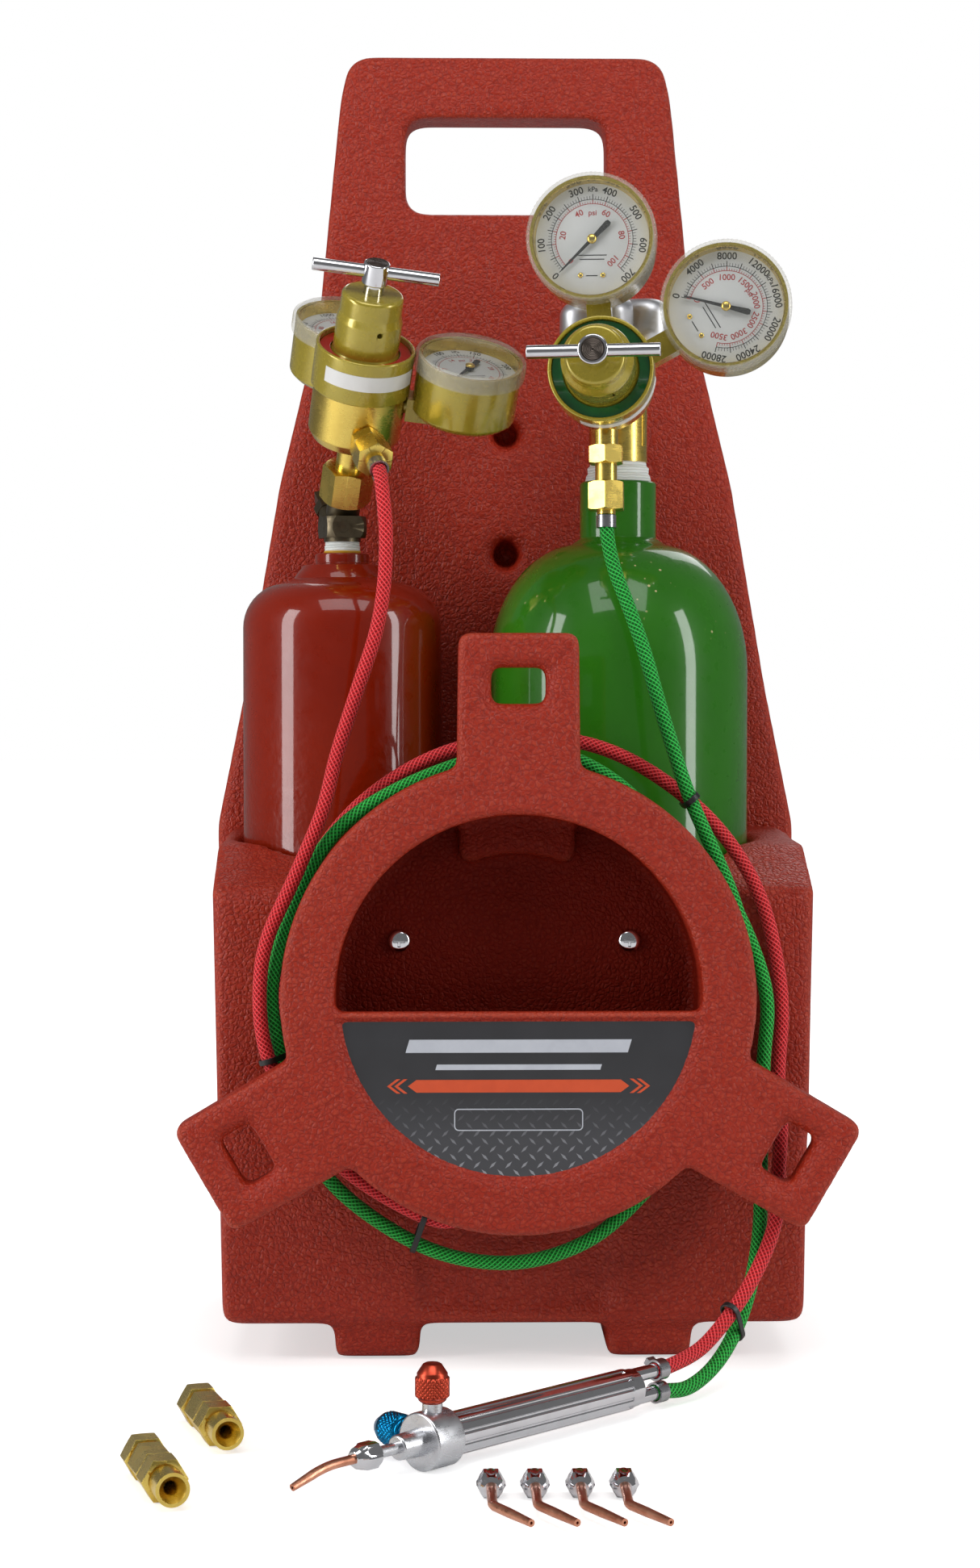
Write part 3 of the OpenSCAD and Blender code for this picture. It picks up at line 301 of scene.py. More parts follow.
def label_print(name, low, high):
    """Charcoal film with a tread-plate pattern that fades in towards the bottom."""
    look = Look(name, srgb(58, 58, 62), 0.34, Coat_Weight=0.3, Coat_Roughness=0.15)
    x, z = look.axis("X"), look.axis("Z")
    pitch = 0.0075
    shift = 100  # keeps the tiles' numbers positive
    col = look.maths("DIVIDE", look.maths("ADD", x, z), pitch)
    row = look.maths("DIVIDE", look.maths("SUBTRACT", x, z), pitch)
    row_number = look.maths("ADD", look.maths("FLOOR", row), 2 * shift)
    odd = look.maths("MODULO", look.maths("ADD", look.maths("FLOOR", col), row_number), 2)
    u = look.maths("SUBTRACT", look.maths("FRACT", look.maths("ADD", col, shift)), 0.5)
    v = look.maths("SUBTRACT", look.maths("FRACT", look.maths("ADD", row, shift)), 0.5)
    across = look.mix(odd, look.node("ShaderNodeCombineXYZ", {0: u, 1: v}).outputs[0],
                      look.node("ShaderNodeCombineXYZ", {0: v, 1: u}).outputs[0])
    a, b = look.axis("X", across), look.axis("Y", across)
    slimness = 3.6
    lozenge = look.maths("ADD", look.maths("ABSOLUTE", a),
                         look.maths("MULTIPLY", look.maths("ABSOLUTE", b), slimness))
    lug = look.span(lozenge, 0.5, 0.36)
    fade = look.span(z, high - 0.036, high - 0.058)
    shown = look.maths("MULTIPLY", lug, fade)
    base = look.mix(look.noise(60, 4), srgb(34, 34, 37), srgb(48, 48, 52))
    steel = look.mix(look.span(z, low, low + 0.03), srgb(158, 160, 166), srgb(92, 93, 98))
    base = look.mix(look.maths("MULTIPLY", fade, 0.4), base, srgb(78, 79, 84))
    look.put("Base Color", look.mix(look.maths("MULTIPLY", shown, 0.8), base, steel))
    return look.bump(shown, 0.15, 0.0004).mat


def pale_floor():
    """A pale sweep that brightens away from the object, as a lit studio table does."""
    look = Look("floor", srgb(246, 246, 245), 0.7)
    look.put("Base Color", look.mix(look.noise(2.5, 2), srgb(243, 243, 243), srgb(248, 248, 247)))
    flat = look.node("ShaderNodeVectorMath", {0: look.place, 1: (1, 1, 0)},
                     operation="MULTIPLY").outputs[0]
    away = look.node("ShaderNodeVectorMath", {0: flat}, operation="LENGTH").outputs["Value"]
    seen = look.node("ShaderNodeLightPath").outputs["Is Camera Ray"]
    look.put("Emission Color", (1, 1, 1, 1))
    glow = look.span(away, 0.3, 1.3, 0.55, 1.0)
    look.put("Emission Strength", look.maths("MULTIPLY", glow, seen))
    return look.mat


RACK_PLATE = 0.014
label_low, label_high = (corner.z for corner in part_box("label_plate"))
MAKERS = {
    "red_plastic": (plastic_red,),
    # The hose rack's own plastic, with painted shade in its drum from RACK_PLATE behind the rack's front.
    "rack_plastic": (plastic_red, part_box("hose_rack")[0].y + RACK_PLATE),
    "acetylene_paint": (enamel, srgb(138, 30, 0), srgb(110, 16, 0), 0.33),
    "oxygen_paint": (enamel, srgb(50, 122, 22), srgb(30, 92, 12), 0.27, True),
    "brass": (metal, srgb(228, 200, 104), srgb(204, 168, 82), 0.3, 0.3),
    "bronze": (metal, srgb(104, 94, 76), srgb(58, 50, 40), 0.42, 0.8),
    "olive_lacquer": (lacquer, srgb(178, 160, 52), srgb(158, 140, 40)),
    "chrome": (metal, srgb(222, 222, 226), srgb(176, 176, 180), 0.1, 0.2, 0.4),
    "steel": (metal, srgb(176, 176, 180), srgb(118, 118, 120), 0.3, 0.4),
    "satin_aluminium": (metal, srgb(212, 213, 217), srgb(190, 190, 195), 0.33, 0.2, 0.6),
    "cast_wheel": (metal, srgb(208, 209, 213), srgb(178, 178, 182), 0.46, 0.25, 0.5),
    "copper": (copper,),
    "thread_tape": (thread_tape,),
    "diaphragm_rubber": (matt, srgb(20, 20, 20), srgb(42, 42, 42), 0.7, (200, 4), 0.2),
    "red_ring": (gloss, srgb(196, 40, 22), srgb(150, 22, 10)),
    "green_ring": (gloss, srgb(10, 92, 38), srgb(4, 60, 22)),
    "dial_white": (matt, srgb(200, 203, 203), srgb(212, 214, 214), 0.5, (120, 3), 0.03, 0.0002),
    "clear_lens": (clear_plastic, srgb(150, 153, 150), 0.08, 0.03),
    "lens_rim": (clear_plastic, srgb(206, 203, 190), 0.26, 0.1),
    "turned_steel": (metal, srgb(92, 84, 78), srgb(54, 46, 42), 0.3, 0.5, 2.0),
    "needle_black": (ink, srgb(22, 22, 22)),
    "red_ink": (ink, srgb(150, 40, 40)),
    # Each braid's third colour is a painted highlight on its strands.
    "red_braid": (braid, srgb(228, 34, 42), srgb(132, 8, 14), srgb(255, 104, 108)),
    "green_braid": (braid, srgb(10, 166, 48), srgb(2, 74, 16), srgb(84, 226, 110)),
    "black_nylon": (matt, srgb(14, 14, 14), srgb(34, 34, 34), 0.4, (300, 3), 0.15),
    "label_print": (label_print, label_low, label_high),
    "label_orange": (gloss, srgb(216, 84, 40), srgb(196, 70, 30), 0.35, 0.2),
    "label_pale": (gloss, srgb(196, 200, 208), srgb(176, 180, 190), 0.35, 0.2),
    "paper_white": (gloss, srgb(232, 232, 230), srgb(218, 218, 216), 0.4, 0.1),
    "red_anodised": (metal, srgb(188, 74, 54), srgb(160, 50, 34), 0.36, 0.25),
    "blue_anodised": (metal, srgb(20, 122, 170), srgb(8, 78, 120), 0.3, 0.4),
}
MAT = {name: make(name, *values) for name, (make, *values) in MAKERS.items()}


# -------------------- mesh tools

SAME_POINT = 1e-7
CAD_SAME_POINT = 2e-6


def dress(obj, look):
    """Gives a piece its material."""
    obj.data.materials.clear()
    obj.data.materials.append(MAT[look])


def add(name, verts, faces, body, look, smooth=35.0):
    """A new piece from points and faces, which rides on body."""
    mesh = bpy.data.meshes.new(name)
    mesh.from_pydata([tuple(v) for v in verts], [], [tuple(f) for f in faces])
    mesh.validate()
    return finish_piece(name, mesh, body, look, smooth)


def finish_piece(name, mesh, body, look, smooth=35.0):
    """An object of mesh with its faces outwards, shaded, dressed and on its body."""
    obj = bpy.data.objects.new(name, mesh)
    bpy.context.scene.collection.objects.link(obj)
    tidy = bmesh.new()
    tidy.from_mesh(mesh)
    bmesh.ops.recalc_face_normals(tidy, faces=tidy.faces)
    tidy.to_mesh(mesh)
    tidy.free()
    shade(mesh, smooth)
    dress(obj, look)
    if body:
        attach(obj, body)
    return obj


def shade(mesh, angle):
    """Smooth shading, with edges sharp past angle degrees."""
    mesh.polygons.foreach_set("use_smooth", [True] * len(mesh.polygons))
    mesh.set_sharp_from_angle(angle=math.radians(angle))


def basis(origin, z, x):
    """The matrix of a frame at origin with its z along z, and its x as near to x as it can be."""
    z = Vector(z).normalized()
    y = z.cross(Vector(x)).normalized()
    x = y.cross(z)
    return Matrix.Translation(Vector(origin)) @ Matrix((x, y, z)).transposed().to_4x4()


def moved(matrix, points):
    """The points taken through a matrix."""
    return [matrix @ Vector(p) for p in points]


def lathe(profile, segments, shape=None):
    """Points and faces of a profile of (r, z) turned about z.

    shape(angle, r, z) may change each radius.
    """
    verts, faces = [], []
    for r, z in profile:
        for k in range(segments):
            a = 2 * math.pi * k / segments
            rr = shape(a, r, z) if shape else r
            verts.append((rr * math.cos(a), rr * math.sin(a), z))
    for i in range(len(profile) - 1):
        near, far = i * segments, (i + 1) * segments
        for k in range(segments):
            j = (k + 1) % segments
            faces.append((near + k, near + j, far + j, far + k))
    for ring, (r, _) in ((0, profile[0]), (len(profile) - 1, profile[-1])):
        if r > SAME_POINT:
            faces.append(tuple(ring * segments + k for k in range(segments)))
    return weld(verts, faces)


def weld(verts, faces):
    """The same points and faces with double points joined and collapsed faces dropped."""
    mesh = bmesh.new()
    made = [mesh.verts.new(v) for v in verts]
    for f in faces:
        try:
            mesh.faces.new([made[k] for k in f])
        except ValueError:
            continue
    bmesh.ops.remove_doubles(mesh, verts=mesh.verts, dist=SAME_POINT)
    mesh.verts.index_update()
    out = [v.co.copy() for v in mesh.verts], [[v.index for v in f.verts] for f in mesh.faces]
    mesh.free()
    return out


def rings(points, radius, sides):
    """Rings of points swept along a line of points, turning as little as possible.

    radius is one number, or one for each point.
    """
    p = np.array(points, float)
    tangent = np.gradient(p, axis=0)
    tangent /= np.linalg.norm(tangent, axis=1)[:, None]
    radius = np.broadcast_to(radius, len(p))
    askew = [0.31, 0.83, 0.46]  # no swept line starts this way
    normal = np.cross(tangent[0], askew)
    out = []
    for k in range(len(p)):
        normal = normal - tangent[k] * normal.dot(tangent[k])
        normal /= np.linalg.norm(normal)
        side = np.cross(tangent[k], normal)
        a = np.arange(sides) * 2 * math.pi / sides
        out.append(p[k] + radius[k] * (np.cos(a)[:, None] * normal + np.sin(a)[:, None] * side))
    return np.concatenate(out)


def tube_faces(count, sides):
    """Faces between count rings, with a cap on each end."""
    faces = [(i * sides + k, i * sides + (k + 1) % sides, (i + 1) * sides + (k + 1) % sides,
              (i + 1) * sides + k) for i in range(count - 1) for k in range(sides)]
    return faces + [tuple(range(sides)), tuple((count - 1) * sides + k for k in range(sides))]


def curve(points, step):
    """Points every step metres along a Catmull-Rom curve through points."""
    p = [np.array(q, float) for q in points]
    dense = []
    for i in range(len(p) - 1):
        a, b, c, d = p[max(i - 1, 0)], p[i], p[i + 1], p[min(i + 2, len(p) - 1)]
        for t in np.linspace(0, 1, 12, endpoint=False):
            dense.append(0.5 * (2 * b + (c - a) * t + (2 * a - 5 * b + 4 * c - d) * t * t
                                + (3 * b - a - 3 * c + d) * t ** 3))
    dense = np.array(dense + [p[-1]])
    run = np.concatenate([[0], np.cumsum(np.linalg.norm(np.diff(dense, axis=0), axis=1))])
    wanted = np.linspace(0, run[-1], max(3, int(round(run[-1] / step)) + 1))
    return np.stack([np.interp(wanted, run, dense[:, k]) for k in range(3)], axis=1)


def cad_parts(node):
    """A CAD node's mesh as one bmesh, and the vertices of each separate piece in it."""
    whole = bmesh.new()
    whole.from_mesh(NODES[node].data)
    bmesh.ops.remove_doubles(whole, verts=whole.verts, dist=CAD_SAME_POINT)
    whole.verts.index_update()
    left = set(whole.verts)
    groups = []
    while left:
        stack, group = [left.pop()], set()
        while stack:
            v = stack.pop()
            group.add(v)
            for e in v.link_edges:
                w = e.other_vert(v)
                if w in left:
                    left.remove(w)
                    stack.append(w)
        groups.append(group)
    return whole, groups


def centre_line(group, start, sides=6):
    """Ring centres of a swept bar, from its end ring nearest to start until the rings stop."""
    start = Vector(start)
    ends = [v for v in group if len(v.link_edges) != sides]
    layer = sorted(ends, key=lambda v: (v.co - start).length)[:sides]
    seen = set(layer)
    out = []
    while len(layer) == sides:
        layer.sort(key=lambda v: v.index)  # the same sum in every run
        out.append(sum((v.co for v in layer), Vector()) / sides)
        step = {e.other_vert(v) for v in layer for e in v.link_edges} - seen
        seen |= step
        layer = list(step)
    return out


def hex_nut(across, length, nose):
    """A hexagon whose corners are turned down behind, with a cone in front to radius nose."""
    corner_r = across / math.sqrt(3)

    def six_sided(a, r, _z):
        flat = across / 2 / math.cos((a + math.pi / 6) % (math.pi / 3) - math.pi / 6)
        return min(r, flat)

    sunk = [(0.0, 0.0), (0.0012, 0.0), (0.0012, 0.0006), (0.0024, 0.0006), (0.003, 0.0)]
    hexagon = [(across * 0.44, 0.0), (across * 0.5, 0.0004), (corner_r, 0.0011),
               (corner_r, length * 0.58), (across * 0.5, length * 0.66)]
    cone = [(nose * 1.5, length * 0.86), (nose * 1.08, length * 0.985), (nose * 0.95, length),
            (0.0, length)]
    return lathe(sunk + hexagon + cone, 72, six_sided)


def baked(obj):
    """A new mesh of an object with its modifiers applied."""
    return bpy.data.meshes.new_from_object(
        obj.evaluated_get(bpy.context.evaluated_depsgraph_get()))


def centre(node):
    """The middle of a CAD node's box."""
    low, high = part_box(node)
    return (low + high) / 2


# -------------------- carried-over CAD pieces

EDGE, FINE_EDGE = 0.00035, 0.00012
FINE = ("needle", "clamp", "clamps", "seal", "spring", "dials", "plate")


def keep_cad(node, edge):
    """A CAD node that stays: its own material, smooth shading and softened edges."""
    obj = NODES[node]
    mesh = obj.data
    if "custom_normal" in mesh.attributes:
        mesh.attributes.remove(mesh.attributes["custom_normal"])
    shade(mesh, 35)
    dress(obj, SLOT_OF[node])
    obj.modifiers.new("join_points", "WELD").merge_threshold = CAD_SAME_POINT
    bevel = obj.modifiers.new("soft_edges", "BEVEL")
    bevel.width = edge
    bevel.segments = 2
    bevel.limit_method = "ANGLE"
    bevel.angle_limit = math.radians(38)
    bevel.use_clamp_overlap = True
    bevel.harden_normals = True


REPLACED = {"back_frame", "tank_box", "hose_rack", "red_hose", "green_hose", "torch_tip",
            "spare_tips", "fuel_knob", "oxygen_knob", "oxygen_handwheel", "rack_screws",
            "acet_gauge_lenses", "oxy_gauge_lenses"}
for node_name in NODES:
    if node_name not in REPLACED:
        keep_cad(node_name, FINE_EDGE if node_name.endswith(FINE) else EDGE)


# -------------------- tote shells


def moulded(node, voxel, rounds, look="red_plastic", sculpt=None):
    """A rounded moulding: the node's outer shell, remeshed with voxels and smoothed in rounds."""
    whole, groups = cad_parts(node)

    def tall(group):
        return max(v.co.z for v in group) - min(v.co.z for v in group)

    outer = max(groups, key=tall)
    inner = [v for g in groups if g is not outer for v in g]
    bmesh.ops.delete(whole, geom=inner, context="VERTS")
    mesh = bpy.data.meshes.new(node + "_shell")
    whole.to_mesh(mesh)
    whole.free()
    obj = finish_piece(node + "_shell", mesh, None, SLOT_OF[node])
    remesh = obj.modifiers.new("voxels", "REMESH")
    remesh.mode = "VOXEL"
    remesh.voxel_size = voxel
    soft = obj.modifiers.new("soft", "SMOOTH")
    soft.factor = 0.5
    soft.iterations = rounds
    made = baked(obj)
    obj.modifiers.clear()
    obj.data = made
    if sculpt:
        for v in made.vertices:
            v.co = sculpt(v.co)
    dress(obj, look)
    shade(made, 60)
    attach(obj, BODY_OF[node])
    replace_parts(obj, node)


GRIP_TALL, GRIP_LEAN, LEAN_DEPTH = 0.125, 0.028, 0.012
GRIP_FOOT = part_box("back_frame")[1].z - GRIP_TALL
FRAME_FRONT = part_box("back_frame")[0].y


def lean_back(co):
    """The grip's front leans back from a faint crease, and its rear stays flat."""
    over = co.z - GRIP_FOOT
    depth = 1 - min(1, (co.y - FRAME_FRONT) / LEAN_DEPTH)
    return Vector((co.x, co.y + max(0, over) * GRIP_LEAN * max(0, depth), co.z))


moulded("back_frame", 0.0025, 22, sculpt=lean_back)
moulded("tank_box", 0.0025, 20)
# The rack takes the plastic with painted shade inside its drum.
moulded("hose_rack", 0.0018, 10, look="rack_plastic")


# -------------------- handwheel and screws


def handwheel(node="oxygen_handwheel"):
    """A cast wheel with six bulging lobes, a sunk hub and its nut."""
    low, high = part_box(node)
    mid = ((low.x + high.x) / 2, (low.y + high.y) / 2)
    top, tall, reach, valley = high.z, 0.024, (high.x - low.x) / 2, 0.0235
    swell, hub_r, boss_r, boss_tall, sunk = 0.0085, 0.0125, 0.0062, 0.008, 0.006

    def lobed(a, r, _z):
        if r < hub_r:
            return r
        bulge = (0.5 + 0.5 * math.cos(6 * (a - math.radians(15)))) ** 0.55
        return max(hub_r, r - (reach - valley) * (1 - bulge))

    profile = [(0.0, top - tall - boss_tall), (boss_r, top - tall - boss_tall),
               (boss_r, top - tall), (0.012, top - tall)]
    for t in np.linspace(-math.pi / 2, math.pi / 2, 18):
        level = top - tall / 2 + (tall / 2 - swell) * (1 if t > 0 else -1)
        profile.append((reach - swell + swell * math.cos(t), level + swell * math.sin(t)))
    profile += [(hub_r, top - 0.0002), (0.0112, top - 0.0012), (0.0108, top - sunk),
                (0.0, top - sunk)]
    verts, faces = lathe(profile, 192, lobed)
    verts = moved(Matrix.Translation((*mid, 0)), verts)
    wheel = add("oxygen_handwheel_cast", verts, faces, BODY_OF[node], "cast_wheel", smooth=50)
    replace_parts(wheel, node)
    verts, faces = hex_nut(0.009, 0.005, 0.002)
    verts = moved(Matrix.Translation((*mid, top - sunk - 0.0001)), verts)
    nut = add("oxygen_handwheel_nut", verts, faces, BODY_OF[node], "steel", smooth=20)


handwheel()


def cross_screws(node="rack_screws"):
    """Domed screw heads with a cross recess."""
    low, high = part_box(node)
    head, edge_z, dome_tall, seat = 0.0055, 0.0012, 0.0021, 0.0032
    slot_deep, slot_half, slot_reach = 0.0012, 0.0006, 0.0027

    def slotted(v):
        x, y = abs(v.x), abs(v.y)
        inside = min(x, y) < slot_half and max(x, y) < slot_reach
        return Vector((v.x, v.y, v.z - slot_deep)) if inside else v

    profile = [(head * 0.75, -0.001), (head * 0.97, 0.0), (head, 0.0006), (head * 0.98, edge_z)]
    profile += [(head * q, edge_z + dome_tall * math.sqrt(1 - q * q))
                for q in np.linspace(0.94, 0.0, 24)]
    verts, faces = lathe(profile, 96)
    verts = [slotted(v) for v in verts]
    for name, x in (("left", low.x + head), ("right", high.x - head)):
        place = basis((x, low.y + seat, (low.z + high.z) / 2), (0, -1, 0), (1, 0, 0))
        screw = add(f"rack_screw_{name}", moved(place, verts), faces, BODY_OF[node], "chrome",
                    smooth=40)
    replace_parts(screw, node)


cross_screws()


def screw_face(name, joint, node):
    """The turned end of an adjusting screw: a rim round dark concentric grooves."""
    out = -Vector(JOINTS[joint]["axis"]).normalized()
    origin = Vector(JOINTS[joint]["pos_m"])
    reach = max((v.co - origin).dot(out) for v in NODES[node].data.vertices)
    rim_r, step = 0.0057, 0.00026
    profile = [(rim_r, -0.0004), (rim_r, 0.0001)]
    profile += [(0.0055 - step * k, 0.0002 if k % 3 else 0.00005) for k in range(20)]
    verts, faces = lathe(profile + [(0.0, 0.0001)], 64)
    verts = moved(basis(origin + out * reach, out, (1, 0, 0)), verts)
    add(name, verts, faces, BODY_OF[node], "turned_steel", smooth=60)


screw_face("acet_screw_face", "turn_acet_adjusting_screw", "acet_adjusting_screw")
screw_face("oxy_screw_face", "turn_oxy_adjusting_screw", "oxy_adjusting_screw")


# -------------------- hoses

HOSE_R = 0.0035
HOSE_STEP = 0.0024


def hose(node, start_node):
    """A round braided hose on the CAD hose's line, starting from its end nearest start_node."""
    whole, groups = cad_parts(node)
    line = centre_line(groups[0], centre(start_node))
    whole.free()
    soft = curve(line, HOSE_STEP)
    for _ in range(6):
        soft[2:-2] = (soft[1:-3] + soft[2:-2] * 2 + soft[3:-1]) / 4
    sides = 16
    verts = rings(soft, HOSE_R, sides)
    obj = add(node + "_braid", verts, tube_faces(len(soft), sides), None, SLOT_OF[node], smooth=60)
    run = np.concatenate([[0], np.cumsum(np.linalg.norm(np.diff(soft, axis=0), axis=1))])
    layer = obj.data.uv_layers.new(name="weave")
    for poly in obj.data.polygons:
        ks = [obj.data.loops[i].vertex_index for i in poly.loop_indices]
        wraps = {k % sides for k in ks} >= {0, sides - 1}
        for i, k in zip(poly.loop_indices, ks):
            turn = 1.0 if wraps and k % sides == 0 else (k % sides) / sides
            layer.data[i].uv = (turn, run[k // sides])
    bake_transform(obj)
    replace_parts(obj, node)


hose("red_hose", "acet_hose_clamp")
hose("green_hose", "oxy_hose_clamp")


# -------------------- tips


def tip_piece(name, group, end, body):
    """One tip: a round tapered copper tube with an open end, and a bright hex nut behind it."""
    across, length = 0.0105, 0.013
    tube_r, taper, mouth_r = 0.002, 0.00045, 0.0006
    line = centre_line(group, end)[::-1]
    way = (line[1] - line[0]).normalized()
    points = curve([line[0] - way * 0.002] + line, 0.0012)
    share = np.linspace(0, 1, len(points))
    radius = np.where(share > 0.7, tube_r - (share - 0.7) / 0.3 * taper, tube_r)
    sides = 20
    verts = list(rings(points, radius, sides))
    faces = tube_faces(len(points), sides)[:-1]
    mouth = rings([points[-2], points[-1]], mouth_r, sides)[sides:]
    outside = (len(points) - 1) * sides
    at_mouth, inside = len(verts), len(verts) + sides
    verts += list(mouth) + list(mouth - (points[-1] - points[-3]))
    for k in range(sides):
        j = (k + 1) % sides
        faces.append((outside + k, outside + j, at_mouth + j, at_mouth + k))
        faces.append((at_mouth + k, at_mouth + j, inside + j, inside + k))
    faces.append(tuple(inside + k for k in range(sides)))
    tube = add(name + "_tube", verts, faces, body, "copper", smooth=40)
    place = basis(line[0] - way * length, way, (0, 0, 1) if abs(way.z) < 0.9 else (1, 0, 0))
    verts, faces = hex_nut(across, length, 0.003)
    add(name + "_nut", moved(place, verts), faces, body, "chrome", smooth=20)
    return tube


whole, groups = cad_parts("spare_tips")
groups.sort(key=lambda g: min(v.co.x for v in g))
spare_tubes = []
for number, group in enumerate(groups, 1):
    end = min((v.co for v in group), key=lambda c: c.y)
    spare_tubes.append(tip_piece(f"spare_tip_{number}", group, end, "loose_tips"))
whole.free()
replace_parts(spare_tubes[0], "spare_tips")
whole, groups = cad_parts("torch_tip")
end = min((v.co for v in groups[0]), key=lambda c: c.x + c.y)
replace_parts(tip_piece("torch_tip", groups[0], end, "tote"), "torch_tip")
whole.free()


# -------------------- torch knobs


def knurled_knob(name, node, joint, colour):
    """A domed knob with diamond knurling, on the joint's own axis."""
    axis = Vector(JOINTS[joint]["axis"])
    side = (1, 0, 0) if abs(axis.z) > 0.9 else (0, 0, 1)
    place = basis(JOINTS[joint]["pos_m"], axis, side)
    ridges, pitch, deep = 24, 0.0022, 0.0003

    def knurl(a, r, z):
        if r > 0.0069 and 0.0186 < z < 0.0265:
            lean = 2 * math.pi * z / pitch
            return r - deep * (1 - max(math.sin(ridges * a + lean), math.sin(ridges * a - lean)))
        return r

    shank = [(0.0, 0.0118), (0.0044, 0.0118), (0.0044, 0.0155), (0.0038, 0.016), (0.0038, 0.0164),
             (0.0, 0.0164)]
    foot = [(0.0, 0.0162), (0.0054, 0.0162), (0.006, 0.0168), (0.006, 0.0176), (0.0066, 0.0178),
            (0.0073, 0.0185)]
    barrel = [(0.0074, 0.0187 + 0.0004 * k) for k in range(20)]
    dome = [(0.0068, 0.0268), (0.0066, 0.0271), (0.0066, 0.0282), (0.0062, 0.0288),
            (0.0041, 0.032), (0.0032, 0.0325), (0.0, 0.0326)]
    verts, faces = lathe(shank, 40)
    rod = add(name + "_shank", moved(place, verts), faces, BODY_OF[node], "satin_aluminium")
    verts, faces = lathe(foot + barrel + dome, 192, knurl)
    knob = add(name, moved(place, verts), faces, BODY_OF[node], colour, smooth=50)
    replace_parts(knob, node)


knurled_knob("fuel_knob_knurled", "fuel_knob", "turn_torch_fuel_knob", "red_anodised")
knurled_knob("oxygen_knob_knurled", "oxygen_knob", "turn_torch_oxygen_knob", "blue_anodised")


# -------------------- gauges

DIAL_DEPTH = 0.0085
DIAL_MARGIN = 0.0031
SWEEP = math.radians(270)
ACET_GAUGE, OXY_GAUGE = 0.056, 0.064


class Gauge:
    """A gauge's own frame: z towards the reader, and x towards the needle's tip at rest."""

    def __init__(self, joint, needle, diameter):
        self.centre = Vector(JOINTS[joint]["pos_m"])
        self.normal = -Vector(JOINTS[joint]["axis"]).normalized()
        tip = max((v.co for v in NODES[needle].data.vertices),
                  key=lambda c: (c - self.centre).length)
        arm = tip - self.centre
        zero = (arm - self.normal * arm.dot(self.normal)).normalized()
        self.r = diameter / 2
        self.place = basis(self.centre, self.normal, zero)

    @staticmethod
    def at(share, radius, height):
        """The point at a share of the scale clockwise from zero, in the gauge's frame."""
        a = -SWEEP * share
        return Vector((radius * math.cos(a), radius * math.sin(a), height))


NUMERALS = {}


def number_shape(text, size):
    """A generic numeral or unit as flat points and faces. Each text is made only once."""
    if text not in NUMERALS:
        made = bpy.data.curves.new("numeral", "FONT")
        made.body = text
        made.align_x, made.align_y = "CENTER", "CENTER"
        made.resolution_u = 3
        made.offset = 0.014
        obj = bpy.data.objects.new("numeral", made)
        bpy.context.scene.collection.objects.link(obj)
        mesh = baked(obj)
        NUMERALS[text] = ([v.co.copy() for v in mesh.vertices],
                          [tuple(p.vertices) for p in mesh.polygons])
        bpy.data.objects.remove(obj)
        bpy.data.curves.remove(made)
        bpy.data.meshes.remove(mesh)
    verts, faces = NUMERALS[text]
    return [v * size for v in verts], faces


def brass_piece(name, gauge, verts, faces, body, smooth):
    """A small brass piece in a gauge's frame."""
    verts = moved(gauge.place, verts)
    add(name, verts, faces, body, "brass", smooth=smooth)


